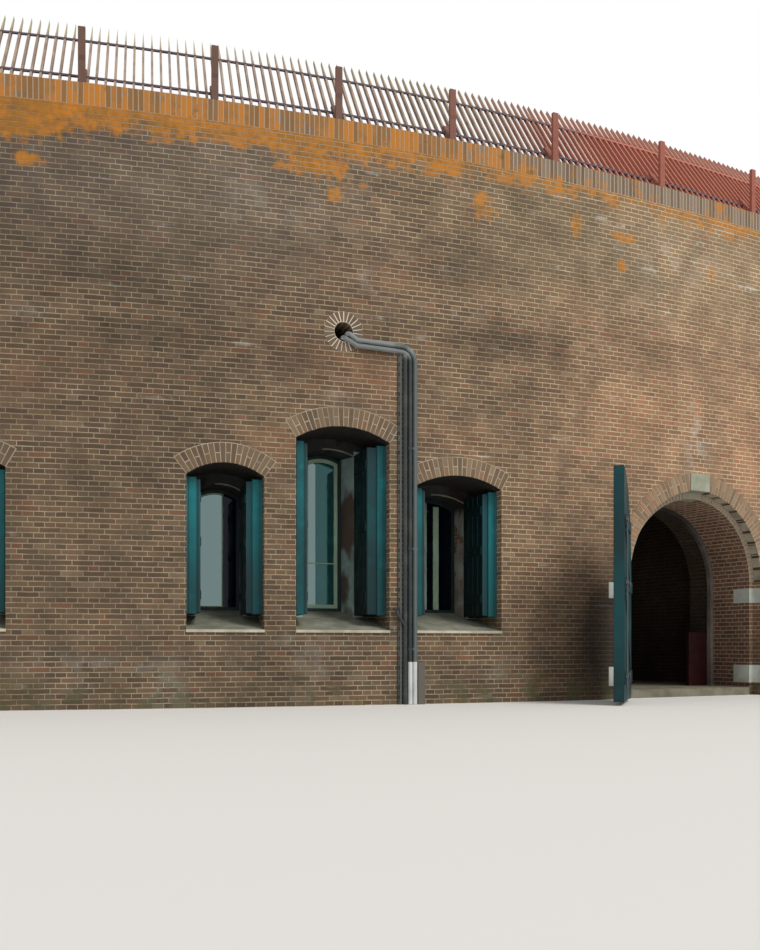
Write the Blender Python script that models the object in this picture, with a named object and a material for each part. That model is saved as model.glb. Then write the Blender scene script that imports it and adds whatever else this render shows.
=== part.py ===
"""A gently curved range of brick barracks: two bays of three arched windows and a doorway bay.

Metres, +Z up. The front faces -Y and bulges towards it. A place on the walls is given as
(s, d, z): s runs along the front face from the middle of the middle bay, d goes inwards from
the front face, and z is the height above the ground. Function at() turns it into X, Y, Z.
"""

import math

import bmesh
import bpy
from mathutils import Vector

# Plan
FACE_RADIUS = 31.1
BAY = 5.54
DOOR_BAY = 4.44
DEPTH = 6.6
FRONT_WALL = 1.25
REAR_WALL = 0.66
END_WALL = 0.5
FACET = 0.8

# Heights
WALL_TOP = 6.354
COPING_HEIGHT = 0.235
COPING_DEPTH = 0.45
ROOF_THICKNESS = 0.2
FLOOR_TOP = 0.105

# Windows: the recess in front holds the shutters, and the narrower inner opening the frame
SHUTTER_DEPTH = 0.70
FRAME_DEPTH = 1.03
FRAME_THICKNESS = 0.08
FRAME_STILE = 0.07
PANE_SET_BACK = 0.03
INNER_NARROWING = 0.145
INNER_DROP = 0.13
SILL_Z = 0.84
SILL_RISE = 0.25
SIDE_SPRING = 2.525
SIDE_RISE = 0.14
CENTRE_SPRING = 2.985
CENTRE_RISE = 0.155
WINDOW_HALF = 0.545
LEFT_WINDOW_HALF = 0.42
SIDE_OFFSET = 1.42
LEFT_OFFSET = 1.32
ARCH_STEPS = 8

# Shutters stand open against the sides of the recess
SHUTTER_THICKNESS = 0.115
SHUTTER_FRONT = 0.13
SHUTTER_BOTTOM = 1.02
SHUTTER_TOP_GAP = 0.01

# Rear windows
REAR_HALF = 0.545
REAR_FRAME_DEPTH = 0.30

# Vent hole over the middle window
VENT_Z = 4.204
VENT_RADIUS = 0.108
VENT_SIDES = 16

# Doorway
DOOR_AT = 4.99
DOOR_RADIUS = 1.16
DOOR_SPRING = 1.55
REBATE = 0.135
REBATE_STEP = 0.09
RING_WIDTH = 0.224
RING_STEPS = 10
RING_BACK = 0.0015
KEY_HALF = 0.165
KEY_PROUD = 0.012
KEY_DEPTH = 0.30
DOOR_FRAME_DEPTH = 0.81
DOOR_FRAME_THICKNESS = 0.07
DOOR_FRAME_WIDTH = 0.055
BOARD_WIDTH = 0.40
BOARD_TOP = 0.87
BOARD_THICKNESS = 0.04
SILL_STONE_SETBACK = 0.015

# Hinge stones, with their pintles
STONE_REACH = 0.33
STONE_DEPTH = 0.40
STONE_LOW_Z = 0.17
STONE_HIGH_Z = 1.27
STONE_LOW_HEIGHT = 0.24
STONE_HIGH_HEIGHT = 0.20
AXIS_OUT = 0.19
AXIS_PROUD = 0.02
PIN_RADIUS = 0.0125
PIN_SIDES = 16
PIN_HEIGHT = 0.075
ARM_HEIGHT = 0.03
ARM_WIDTH = 0.05

# Door leaves
LEAF_FACE = 0.01
LEAF_THICKNESS = 0.11
LEAF_BOTTOM = 0.04
LEAF_CLEARANCE = 0.015
LEAF_MEETING = 0.01
LEAF_EDGE = 0.001
LEAF_OPEN = 135.0
EYE_RADIUS = 0.032
EYE_HEIGHT = 0.05
PIN_PLAY = 0.0006
STRAP_LENGTH = 1.06
STRAP_PROUD = 0.016
STRAP_INTO = 0.004
STRAP_INSET = 0.003
EYE_OVERLAP = 0.005

# Fence on the wall's top, leaning inwards
FENCE_LEAN = math.radians(35.0)
FENCE_SETBACK = 0.055
PICKET_WIDTH = 0.024
PICKET_DEPTH = 0.044
PICKET_PITCH = 0.0975
PICKET_LENGTH = 1.38
LOW_RAIL = 0.165
HIGH_RAIL = 0.975
RAIL_HEIGHT = 0.04
RAIL_DEPTH = 0.014
POST_PITCH = 1.385
POST_WIDE_PITCH = 1.64
POST_INSET = 0.05
POST_WIDTH = 0.075
POST_DEPTH = 0.04
POST_HEIGHT = 0.59
BRACE_DEPTH = 0.06
BRACE_HEIGHT = 0.26

# Two pipes from the vent hole to the ground, and a duct at their foot
PIPE_RADIUS = 0.026
PIPE_AT = 0.785
PIPE_PITCH = 0.06
PIPE_BEND = 0.11
BEND_STEPS = 4
PIPE_TURN_Z = 4.035
PIPE_RUN_STEP = 0.065
PIPE_RUN_FALL = 0.018
PIPE_RUN_START = 0.15
PIPE_INSIDE = 0.28
PIPE_LEAVES_BEHIND = 0.005
BLACK_LEAVES_AT = -0.01
BLACK_LEAVES_DOWN = 0.07
GREY_LEAVES_AT = 0.045
GREY_LEAVES_DOWN = 0.02
PIPE_STEPS = 2
CLIP_WIDTH = 0.056
CLIP_DEPTH = 0.045
CLIP_HEIGHT = 0.03
CLIP_FIRST = 0.62
CLIP_PITCH = 1.15
CLIP_COUNT = 3
DUCT_WIDTH = 0.085
DUCT_DEPTH = 0.06
DUCT_TOP = 0.49
DUCT_AT = 0.915

# Touching pieces keep this gap, and cutters run this far past what they cut
GAP = 0.0003
PAST = 0.2

RANGE_START = -1.5 * BAY
RANGE_END = 0.5 * BAY + DOOR_BAY
RANGE_MIDDLE = 0.5 * (RANGE_START + RANGE_END)
CENTRE_Y = FACE_RADIUS - 0.5 * DEPTH
COPING_TOP = WALL_TOP + COPING_HEIGHT
REAR_FACE = DEPTH - REAR_WALL
INNER_RADIUS = DOOR_RADIUS - REBATE_STEP
BREAKS = (
    RANGE_START,
    RANGE_START + END_WALL,
    -0.5 * BAY,
    0.5 * BAY,
    DOOR_AT - DOOR_RADIUS,
    DOOR_AT + DOOR_RADIUS,
    RANGE_END - END_WALL,
    RANGE_END,
)


def angle_at(s):
    return (s - RANGE_MIDDLE) / FACE_RADIUS


def at(s, d, z):
    """The place in X, Y, Z of a point on or behind the curved front face."""
    reach = FACE_RADIUS - d
    angle = angle_at(s)
    return Vector((reach * math.sin(angle), CENTRE_Y - reach * math.cos(angle), z))


def stations(start, end):
    """Where the facets of a curved wall meet: all pieces share them, so that flat sides fit."""
    grid = []
    for low, high in zip(BREAKS, BREAKS[1:]):
        count = math.ceil((high - low) / FACET)
        grid += [low + (high - low) * i / count for i in range(count)]
    inner = [s for s in grid if start + GAP < s < end - GAP]
    return [start] + inner + [end]


def clear_scene():
    for old in list(bpy.data.objects):
        bpy.data.objects.remove(old, do_unlink=True)


def material(name, colour, roughness, metallic=0.0):
    finish = bpy.data.materials.new(name)
    finish.use_nodes = True
    shader = finish.node_tree.nodes["Principled BSDF"]
    shader.inputs["Base Color"].default_value = (*colour, 1.0)
    shader.inputs["Roughness"].default_value = roughness
    shader.inputs["Metallic"].default_value = metallic
    return finish


def add(name, bm, finish=None):
    """Makes an object of a finished bmesh. One with no finish is a cutter."""
    bmesh.ops.recalc_face_normals(bm, faces=bm.faces[:])
    mesh = bpy.data.meshes.new(name)
    bm.to_mesh(mesh)
    bm.free()
    obj = bpy.data.objects.new(name, mesh)
    bpy.context.scene.collection.objects.link(obj)
    if finish:
        mesh.materials.append(finish)
    else:
        obj.hide_render = True
        obj.display_type = "WIRE"
    return obj


def change(obj, other, operation):
    step = obj.modifiers.new(f"{operation} {other.name}", "BOOLEAN")
    step.operation = operation
    step.solver = "EXACT"
    step.object = other


def loft(bm, rings):
    """Adds a closed solid whose end face is extruded from each ring of points to the next."""
    first = bm.faces.new([bm.verts.new(point) for point in rings[0]])
    face = first
    for before, after in zip(rings, rings[1:]):
        grown = bmesh.ops.extrude_face_region(bm, geom=[face])["geom"]
        if face is not first and face.is_valid:
            bm.faces.remove(face)
        face = next(item for item in grown if isinstance(item, bmesh.types.BMFace))
        for vert in face.verts:
            gaps = [(vert.co - Vector(point)).length for point in before]
            vert.co = after[gaps.index(min(gaps))]


def bend(bm):
    """Moves a mesh drawn in (s, d, z) onto the curved range."""
    for vert in bm.verts:
        vert.co = at(*vert.co)


def square_to(middle, x, y, z):
    """A place in the straight frame of the opening at s = middle: x along it, y inwards."""
    turn = angle_at(middle)
    across = x * math.cos(turn) - y * math.sin(turn)
    inwards = x * math.sin(turn) + y * math.cos(turn)
    return at(middle, 0.0, z) + Vector((across, inwards, 0.0))


def face_y(x, d):
    """How far in, in an opening's straight frame, the curve at the depth d lies at x."""
    return FACE_RADIUS - math.sqrt((FACE_RADIUS - d) ** 2 - x * x)


def solid(name, rings, finish=None, middle=None):
    """A loft bent along the range or, with a middle, straight in that opening's frame."""
    bm = bmesh.new()
    loft(bm, rings)
    if middle is None:
        bend(bm)
    else:
        for vert in bm.verts:
            vert.co = square_to(middle, *vert.co)
    return add(name, bm, finish)


def block(name, s_range, d_range, z_range, finish):
    """A stretch of curved wall or slab."""
    d0, d1 = d_range
    z0, z1 = z_range
    section = ((d0, z0), (d1, z0), (d1, z1), (d0, z1))
    rings = [[(s, d, z) for d, z in section] for s in stations(*s_range)]
    return solid(name, rings, finish)


def arch(half, spring, rise, low, steps=ARCH_STEPS):
    """An opening's outline in (x, z): two upright sides under part of a circle."""
    radius = (half * half + rise * rise) / (2.0 * rise)
    sweep = math.asin(min(1.0, half / radius))
    centre = spring + rise - radius
    turns = [sweep * (2.0 * i / steps - 1.0) for i in range(steps + 1)]
    curve = [(radius * math.sin(t), centre + radius * math.cos(t)) for t in turns]
    return [(-half, low)] + curve + [(half, low)]


def sill_z(d):
    """The sloping sill, up to the window frame."""
    share = min(1.0, max(0.0, d / FRAME_DEPTH))
    return SILL_Z + SILL_RISE * share


def ring_at(outline, d, low):
    """An outline set at a depth, with its two lowest points at the height low."""
    points = [(s, d, z) for s, z in outline]
    points[0] = (*points[0][:2], low)
    points[-1] = (*points[-1][:2], low)
    return points


def window_places(bay_middle):
    """(name, middle, half width, springing height, rise) of a bay's three windows."""
    return (
        ("left", bay_middle - LEFT_OFFSET, LEFT_WINDOW_HALF, SIDE_SPRING, SIDE_RISE),
        ("centre", bay_middle, WINDOW_HALF, CENTRE_SPRING, CENTRE_RISE),
        ("right", bay_middle + SIDE_OFFSET, WINDOW_HALF, SIDE_SPRING, SIDE_RISE),
    )


def inner_outline(half, spring, rise):
    inner_half = half - INNER_NARROWING
    inner_rise = rise * inner_half / half
    return arch(inner_half, spring + rise - INNER_DROP - inner_rise, inner_rise, SILL_Z)


def window_cutter(name, middle, half, spring, rise):
    outer = arch(half, spring, rise, SILL_Z)
    inner = inner_outline(half, spring, rise)
    rings = [
        ring_at(outer, -PAST, SILL_Z),
        ring_at(outer, 0.0, SILL_Z),
        ring_at(outer, SHUTTER_DEPTH, sill_z(SHUTTER_DEPTH)),
        ring_at(inner, SHUTTER_DEPTH, sill_z(SHUTTER_DEPTH)),
        ring_at(inner, FRAME_DEPTH, sill_z(FRAME_DEPTH)),
        ring_at(inner, FRONT_WALL + PAST, sill_z(FRAME_DEPTH)),
    ]
    return solid(name, rings, middle=middle)


def inset_outline(outline, low, step):
    """The same arched outline, smaller by step on every side."""
    half = outline[-1][0]
    top = max(z for _, z in outline)
    rise = (top - outline[1][1]) * (half - step) / half
    return arch(half - step, top - rise - step, rise, low + step)


def window_frame(name, middle, outline, low, front, finish):
    """A frame with its pane set back, closing an opening."""
    edge = inset_outline(outline, low, GAP)
    light = inset_outline(outline, low, FRAME_STILE)
    set_back = front + PANE_SET_BACK
    rings = [
        ring_at(light, set_back, light[0][1]),
        ring_at(light, front, light[0][1]),
        ring_at(edge, front, edge[0][1]),
        ring_at(edge, front + FRAME_THICKNESS, edge[0][1]),
    ]
    return solid(name, rings, finish, middle)


def shutter(name, middle, jamb, side, top, finish):
    """A thick leaf flat against the side of the recess."""
    edge = jamb - side * GAP
    x_range = sorted((edge, edge - side * SHUTTER_THICKNESS))
    y_range = (SHUTTER_FRONT, SHUTTER_DEPTH - GAP)
    z_range = (SHUTTER_BOTTOM, top - SHUTTER_TOP_GAP)
    return solid(name, box_rings(x_range, y_range, z_range), finish, middle)


def window_bay(name, middle, finishes):
    """The wall of one bay, with its windows and shutters."""
    s_range = (middle - 0.5 * BAY, middle + 0.5 * BAY)
    ends = (s_range[0] + GAP * (s_range[0] > RANGE_START), s_range[1])
    wall = block(f"front_wall_{name}", ends, (0.0, FRONT_WALL), (0.0, WALL_TOP), finishes["brick"])
    for place, at_s, half, spring, rise in window_places(middle):
        label = f"{name}_{place}"
        change(wall, window_cutter(f"cut_{label}", at_s, half, spring, rise), "DIFFERENCE")
        low = sill_z(FRAME_DEPTH)
        outline = inner_outline(half, spring, rise)
        window_frame(f"window_{label}", at_s, outline, low, FRAME_DEPTH, finishes["frame"])
        for word, side in (("left", -1.0), ("right", 1.0)):
            jamb = side * half
            shutter(f"shutter_{label}_{word}", at_s, jamb, side, spring, finishes["teal"])
    return wall


def vent_cutter():
    """The round hole for the pipes, through the wall."""
    turns = [2.0 * math.pi * i / VENT_SIDES for i in range(VENT_SIDES)]
    circle = [(VENT_RADIUS * math.cos(t), VENT_Z + VENT_RADIUS * math.sin(t)) for t in turns]
    rings = [[(x, y, z) for x, z in circle] for y in (-PAST, FRONT_WALL + PAST)]
    return solid("cut_vent", rings, middle=0.0)


def box_rings(x_range, y_range, z_range):
    (x0, x1), (y0, y1) = x_range, y_range
    return [[(x0, y0, z), (x1, y0, z), (x1, y1, z), (x0, y1, z)] for z in z_range]


def circle_rings(x, y, radius, z_range):
    turns = [2.0 * math.pi * i / PIN_SIDES for i in range(PIN_SIDES)]
    points = [(x + radius * math.cos(t), y + radius * math.sin(t)) for t in turns]
    return [[(px, py, z) for px, py in points] for z in z_range]


def pier(name, side, finish):
    """The wall beside the doorway, up to the springing, with its rebate."""
    outer_edge = RANGE_END if side > 0 else 0.5 * BAY + GAP
    jamb_at = DOOR_AT + side * FACE_RADIUS * math.asin(DOOR_RADIUS / FACE_RADIUS)
    front = stations(*sorted((outer_edge, jamb_at)))
    if side > 0:
        front.reverse()
    jamb = ((DOOR_RADIUS, REBATE), (INNER_RADIUS, REBATE), (INNER_RADIUS, FRONT_WALL))
    rings = []
    for z in (0.0, DOOR_SPRING):
        plan = [at(s, 0.0, z) for s in front]
        plan += [square_to(DOOR_AT, side * x, face_y(x, d), z) for x, d in jamb]
        plan += [at(s, FRONT_WALL, z) for s in reversed(front)]
        rings.append(plan)
    bm = bmesh.new()
    loft(bm, rings)
    return add(name, bm, finish)


def stone_solid(name, side, z_range, grow, finish=None):
    """A hinge stone, which turns the corner of the rebate, or the cutter that makes its place."""
    out = DOOR_RADIUS + STONE_REACH + grow
    back = face_y(DOOR_RADIUS + STONE_REACH, STONE_DEPTH) + grow
    if grow:
        past = INNER_RADIUS - PAST
        plan = ((out, -PAST), (past, -PAST), (past, back), (out, back))
    else:
        plan = (
            (out, face_y(out, 0.0)),
            (DOOR_RADIUS, face_y(DOOR_RADIUS, 0.0)),
            (DOOR_RADIUS, face_y(DOOR_RADIUS, REBATE)),
            (INNER_RADIUS, face_y(INNER_RADIUS, REBATE)),
            (INNER_RADIUS, back),
            (out, back),
        )
    levels = (z_range[0] - grow, z_range[1] + grow)
    rings = [[(side * x, y, z) for x, y in plan] for z in levels]
    return solid(name, rings, finish, DOOR_AT)


def pintle(stone, side, middle_z):
    """The iron arm and upright pin that carry the leaf's eye, let into the stone."""
    x = side * (DOOR_RADIUS + AXIS_OUT)
    y = -AXIS_PROUD
    levels = (middle_z - ARM_HEIGHT, middle_z)
    arm = box_rings((x - 0.5 * ARM_WIDTH, x + 0.5 * ARM_WIDTH), (y - PIN_RADIUS, REBATE), levels)
    pin = circle_rings(x, y, PIN_RADIUS, (middle_z - 0.9 * ARM_HEIGHT, middle_z + PIN_HEIGHT))
    for word, rings in (("arm", arm), ("pin", pin)):
        piece = solid(f"add_{stone.name}_{word}", rings, middle=DOOR_AT)
        change(stone, piece, "UNION")


def hinge_stones(piers, finishes):
    """Two stones in each pier; returns the heights at which the eyes sit."""
    seats = []
    levels = (("low", STONE_LOW_Z, STONE_LOW_HEIGHT), ("high", STONE_HIGH_Z, STONE_HIGH_HEIGHT))
    for level, z0, height in levels:
        seat = z0 + 0.5 * height
        seats.append(seat)
        for word, side in (("left", -1.0), ("right", 1.0)):
            label = f"hinge_stone_{level}_{word}"
            z_range = (z0, z0 + height)
            cutter = stone_solid(f"cut_{label}", side, z_range, GAP)
            change(piers[word], cutter, "DIFFERENCE")
            stone = stone_solid(label, side, z_range, 0.0, finishes["stone"])
            pintle(stone, side, seat)
    return seats


def ring_section(turn, radii, depths, lead=0.0):
    """A small rectangle across the front ring. Its inner side may lead by an angle."""
    (r0, r1), (d0, d1) = radii, depths
    corners = ((r0, lead, d0), (r1, 0.0, d0), (r1, 0.0, d1), (r0, lead, d1))
    return [(r * math.cos(turn + ahead), d, r * math.sin(turn + ahead)) for r, ahead, d in corners]


def on_arch(side, section):
    """A section's points in the doorway's frame, on the curved face."""
    return [(side * x, face_y(x, d), DOOR_SPRING + z) for x, d, z in section]


def arch_half(name, side, finish):
    """Half of the front ring of bricks on end, from the springing to the keystone."""
    stop = KEY_HALF + GAP
    radii = (DOOR_RADIUS, DOOR_RADIUS + RING_WIDTH)
    step = 0.5 * math.pi / RING_STEPS
    turns = [step * i for i in range(RING_STEPS)]
    turns = [t for t in turns if DOOR_RADIUS * math.cos(t) > stop + RING_BACK]
    sections = [ring_section(t, radii, (0.0, REBATE)) for t in turns]
    sections[0] = [(x, d, GAP) for x, d, _ in sections[0]]
    following = ring_section(turns[-1] + step, radii, (0.0, REBATE))
    last = []
    for (x0, d, z0), (x1, _, z1) in zip(sections[-1], following):
        share = (x0 - stop) / (x0 - x1)
        last.append((stop, d, z0 + (z1 - z0) * share))
    rings = [on_arch(side, section) for section in sections + [last]]
    return solid(name, rings, finish, DOOR_AT)


def ring_cutter():
    """Cuts the head back for the front ring and the rebate under it."""
    radii = (INNER_RADIUS - REBATE_STEP, DOOR_RADIUS + RING_WIDTH + GAP)
    depths = (-PAST, REBATE + RING_BACK)
    step = 0.5 * math.pi / RING_STEPS
    turns = [step * i for i in range(2 * RING_STEPS + 1)]
    sections = [ring_section(turn, radii, depths, 0.5 * step) for turn in turns]
    sections.insert(0, [(x, d, -PAST) for x, d, _ in sections[0]])
    sections.append([(x, d, -PAST) for x, d, _ in sections[-1]])
    rings = [on_arch(1.0, section) for section in sections]
    return solid("cut_head_ring", rings, middle=DOOR_AT)


def key_top():
    return DOOR_SPRING + DOOR_RADIUS + RING_WIDTH


def door_outline(radius, low):
    return arch(radius, DOOR_SPRING, radius, low, 2 * RING_STEPS)


def door_head(finishes):
    """The wall over the doorway, with the arch cut through it."""
    ends = (0.5 * BAY + GAP, RANGE_END)
    levels = (DOOR_SPRING + GAP, WALL_TOP)
    head = block("door_wall_head", ends, (0.0, FRONT_WALL), levels, finishes["brick"])
    below = DOOR_SPRING - PAST
    passage = [[(x, y, z) for x, z in door_outline(INNER_RADIUS, below)]
               for y in (-PAST, FRONT_WALL + PAST)]
    key = box_rings((-KEY_HALF - GAP, KEY_HALF + GAP), (-PAST, KEY_DEPTH + GAP),
                    (below, key_top() + GAP))
    change(head, ring_cutter(), "DIFFERENCE")
    change(head, solid("cut_head_passage", passage, middle=DOOR_AT), "DIFFERENCE")
    change(head, solid("cut_head_key", key, middle=DOOR_AT), "DIFFERENCE")
    return head


def keystone(finish):
    """A stone in the front ring whose foot reaches down over the second ring."""
    low = DOOR_SPRING + INNER_RADIUS
    step = DOOR_SPRING + DOOR_RADIUS
    profile = ((-KEY_PROUD, step), (-KEY_PROUD, key_top()), (KEY_DEPTH, key_top()),
               (KEY_DEPTH, low), (REBATE, low), (REBATE, step))
    rings = [[(x, y, z) for y, z in profile] for x in (-KEY_HALF, KEY_HALF)]
    return solid("door_keystone", rings, finish, DOOR_AT)


def door_frame(finish):
    """The rendered frame at the inner end of the passage."""
    low = FLOOR_TOP + GAP
    outer = door_outline(INNER_RADIUS - GAP, low)
    inner = door_outline(INNER_RADIUS - DOOR_FRAME_WIDTH, low)
    depths = (DOOR_FRAME_DEPTH, DOOR_FRAME_DEPTH + DOOR_FRAME_THICKNESS)
    rings = [[(x, y, z) for x, z in outer + inner[::-1]] for y in depths]
    return solid("door_frame", rings, finish, DOOR_AT)


def inner_board(finish):
    """The low board that stands behind the frame on its right."""
    x1 = INNER_RADIUS - GAP
    y0 = DOOR_FRAME_DEPTH + DOOR_FRAME_THICKNESS + GAP
    rings = box_rings((x1 - BOARD_WIDTH, x1), (y0, y0 + BOARD_THICKNESS),
                      (FLOOR_TOP + GAP, BOARD_TOP))
    return solid("inner_board", rings, finish, DOOR_AT)


def leaf_outline():
    """A leaf's outline in (w, z), with w measured from the hinge axis."""
    reach = DOOR_RADIUS + AXIS_OUT
    radius = DOOR_RADIUS - LEAF_CLEARANCE
    first = reach - radius + LEAF_EDGE
    last = reach - LEAF_MEETING
    start = math.acos((reach - first) / radius)
    end = math.acos((reach - last) / radius)
    turns = [start + (end - start) * i / RING_STEPS for i in range(RING_STEPS + 1)]
    curve = [(reach - radius * math.cos(t), DOOR_SPRING + radius * math.sin(t)) for t in turns]
    return [(first, LEAF_BOTTOM)] + curve + [(last, LEAF_BOTTOM)]


def leaf(word, side, seats, finish):
    """One leaf of the double door, made closed about its hinge axis and turned open."""
    front = AXIS_PROUD + LEAF_FACE
    rings = [[(-side * w, y, z) for w, z in leaf_outline()] for y in (front, front + LEAF_THICKNESS)]
    panel = hung(f"door_leaf_{word}", rings, side, finish)
    for index, seat in enumerate(seats):
        low = seat + GAP
        high = low + EYE_HEIGHT
        strap = box_rings(sorted((side * EYE_OVERLAP, -side * STRAP_LENGTH)),
                          (front - STRAP_PROUD, front + STRAP_INTO),
                          (low + STRAP_INSET, high - STRAP_INSET))
        eye = circle_rings(0.0, 0.0, EYE_RADIUS, (low, high))
        hole = circle_rings(0.0, 0.0, PIN_RADIUS + PIN_PLAY, (low - PAST, high + PAST))
        for kind, shape, operation in (("strap", strap, "UNION"), ("eye", eye, "UNION"),
                                       ("hole", hole, "DIFFERENCE")):
            change(panel, hung(f"{kind}_{word}_{index}", shape, side), operation)
    return panel


def hung(name, rings, side, finish=None):
    """A solid drawn about a leaf's hinge axis, in the closed pose, and set at the open one."""
    bm = bmesh.new()
    loft(bm, rings)
    obj = add(name, bm, finish)
    obj.location = square_to(DOOR_AT, side * (DOOR_RADIUS + AXIS_OUT), -AXIS_PROUD, 0.0)
    obj.rotation_euler.z = angle_at(DOOR_AT) + side * math.radians(LEAF_OPEN)
    return obj


def threshold(finish):
    half = INNER_RADIUS - GAP
    y_range = (REBATE + SILL_STONE_SETBACK, FRONT_WALL - SILL_STONE_SETBACK)
    rings = box_rings((-half, half), y_range, (0.0, FLOOR_TOP))
    return solid("door_threshold", rings, finish, DOOR_AT)


def doorway(finishes):
    piers = {
        "left": pier("door_pier_left", -1.0, finishes["brick"]),
        "right": pier("door_pier_right", 1.0, finishes["brick"]),
    }
    seats = hinge_stones(piers, finishes)
    door_head(finishes)
    arch_half("door_arch_left", -1.0, finishes["brick"])
    arch_half("door_arch_right", 1.0, finishes["brick"])
    keystone(finishes["stone"])
    threshold(finishes["stone"])
    door_frame(finishes["render"])
    inner_board(finishes["red"])
    leaf("left", -1.0, seats, finishes["teal"])
    leaf("right", 1.0, seats, finishes["teal"])


def rear_wall(name, start, end, finishes):
    """One bay of the plain rear wall, with one arched window."""
    gap = GAP * (start > RANGE_START)
    d_range = (REAR_FACE, DEPTH)
    wall = block(f"rear_wall_{name}", (start + gap, end), d_range, (0.0, WALL_TOP),
                 finishes["brick"])
    middle = 0.5 * (start + end)
    outline = arch(REAR_HALF, SIDE_SPRING, SIDE_RISE, SILL_Z)
    rings = [[(x, y, z) for x, z in outline] for y in (REAR_FACE - PAST, DEPTH + PAST)]
    change(wall, solid(f"cut_rear_{name}", rings, middle=middle), "DIFFERENCE")
    front = REAR_FACE + REAR_FRAME_DEPTH
    window_frame(f"rear_window_{name}", middle, outline, SILL_Z, front, finishes["frame"])


def shell(finishes):
    """The end walls, rear wall, floor, roof and coping."""
    d_range = (FRONT_WALL + GAP, REAR_FACE - GAP)
    levels = (0.0, WALL_TOP)
    block("end_wall_left", (RANGE_START, RANGE_START + END_WALL), d_range, levels,
          finishes["brick"])
    block("end_wall_right", (RANGE_END - END_WALL, RANGE_END), d_range, levels,
          finishes["brick"])
    rear_wall("left", RANGE_START, -0.5 * BAY, finishes)
    rear_wall("middle", -0.5 * BAY, 0.5 * BAY, finishes)
    rear_wall("right", 0.5 * BAY, RANGE_END, finishes)
    inside = (RANGE_START + END_WALL + GAP, RANGE_END - END_WALL - GAP)
    block("floor_slab", inside, d_range, (0.0, FLOOR_TOP), finishes["stone"])
    whole = (RANGE_START, RANGE_END)
    base = WALL_TOP + GAP
    block("coping", whole, (0.0, COPING_DEPTH), (base, COPING_TOP), finishes["brick"])
    block("roof_slab", whole, (COPING_DEPTH + GAP, DEPTH), (base, base + ROOF_THICKNESS),
          finishes["render"])


def lattice_faces(bm, start, end, middles):
    """The fence's flat face: pointed pickets and two rails, as one sheet of joined faces."""
    half = 0.5 * PICKET_WIDTH
    rails = ((LOW_RAIL, LOW_RAIL + RAIL_HEIGHT), (HIGH_RAIL, HIGH_RAIL + RAIL_HEIGHT))
    edges = [start] + [s + step for s in middles for step in (-half, half)] + [end]
    grid = {}

    def vert(s, h):
        if (s, h) not in grid:
            grid[s, h] = bm.verts.new((s, 0.0, h))
        return grid[s, h]

    for low, high in rails:
        for s0, s1 in zip(edges, edges[1:]):
            bm.faces.new([vert(s0, low), vert(s1, low), vert(s1, high), vert(s0, high)])
    for s in middles:
        s0, s1 = s - half, s + half
        for low, high in ((GAP, rails[0][0]), (rails[0][1], rails[1][0])):
            bm.faces.new([vert(s0, low), vert(s1, low), vert(s1, high), vert(s0, high)])
        bm.faces.new([vert(s0, rails[1][1]), vert(s1, rails[1][1]), vert(s, PICKET_LENGTH)])


def lean(bm):
    """Tips an upright sheet back over the wall and bends it along the range."""
    for vert in bm.verts:
        s, t, h = vert.co
        d = FENCE_SETBACK + h * math.sin(FENCE_LEAN) + t * math.cos(FENCE_LEAN)
        z = COPING_TOP + h * math.cos(FENCE_LEAN) - t * math.sin(FENCE_LEAN)
        vert.co = at(s, d, max(z, COPING_TOP + GAP))


def post(bm, s):
    """An upright flat bar with the brace that the rails are fixed to."""
    slope = math.tan(FENCE_LEAN)
    front = FENCE_SETBACK - 0.5 * BRACE_DEPTH
    upright = front - 0.5 * POST_DEPTH
    base = COPING_TOP + GAP
    crotch = (upright + POST_DEPTH - front) / slope
    top = BRACE_HEIGHT
    profile = (
        (upright, 0.0),
        (upright, POST_HEIGHT),
        (upright + POST_DEPTH, POST_HEIGHT),
        (upright + POST_DEPTH, crotch),
        (front + slope * top, top),
        (front + BRACE_DEPTH + slope * top, top),
        (front + BRACE_DEPTH, 0.0),
    )
    rings = [[(s + side * POST_WIDTH, d, base + z) for d, z in profile] for side in (-0.5, 0.5)]
    loft(bm, rings)


def deepen(bm, faces, depth):
    """Extrudes faces straight back and gives the new ones."""
    grown = bmesh.ops.extrude_face_region(bm, geom=faces)["geom"]
    for item in grown:
        if isinstance(item, bmesh.types.BMVert):
            item.co.y += depth
    return [item for item in grown if isinstance(item, bmesh.types.BMFace)]


def lattice(start, end, middles):
    """Deep pickets on edge behind two thinner rails, still upright and straight."""
    bm = bmesh.new()
    lattice_faces(bm, start, end, middles)
    backs = deepen(bm, bm.faces[:], RAIL_DEPTH)
    pickets = [face for face in backs if near_picket(face.calc_center_median().x, middles)]
    deepen(bm, pickets, PICKET_DEPTH - RAIL_DEPTH)
    bmesh.ops.delete(bm, geom=[face for face in pickets if face.is_valid], context="FACES_ONLY")
    return bm


def near_picket(s, middles):
    return min(abs(s - middle) for middle in middles) < 0.5 * PICKET_WIDTH


def post_places(start, end):
    """Posts at the joints between the bays, with the wider pitch over the doorway."""
    pitch = POST_WIDE_PITCH if end == RANGE_END else POST_PITCH
    first = -0.5 * BAY - POST_INSET if end < RANGE_END else 0.5 * BAY - POST_INSET
    count = int((RANGE_END - RANGE_START) / pitch)
    places = [first + pitch * i for i in range(-count, count)]
    places += [RANGE_START + POST_INSET, RANGE_END - POST_INSET]
    return [s for s in places if start < s - 0.5 * POST_WIDTH and s + 0.5 * POST_WIDTH < end]


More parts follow.
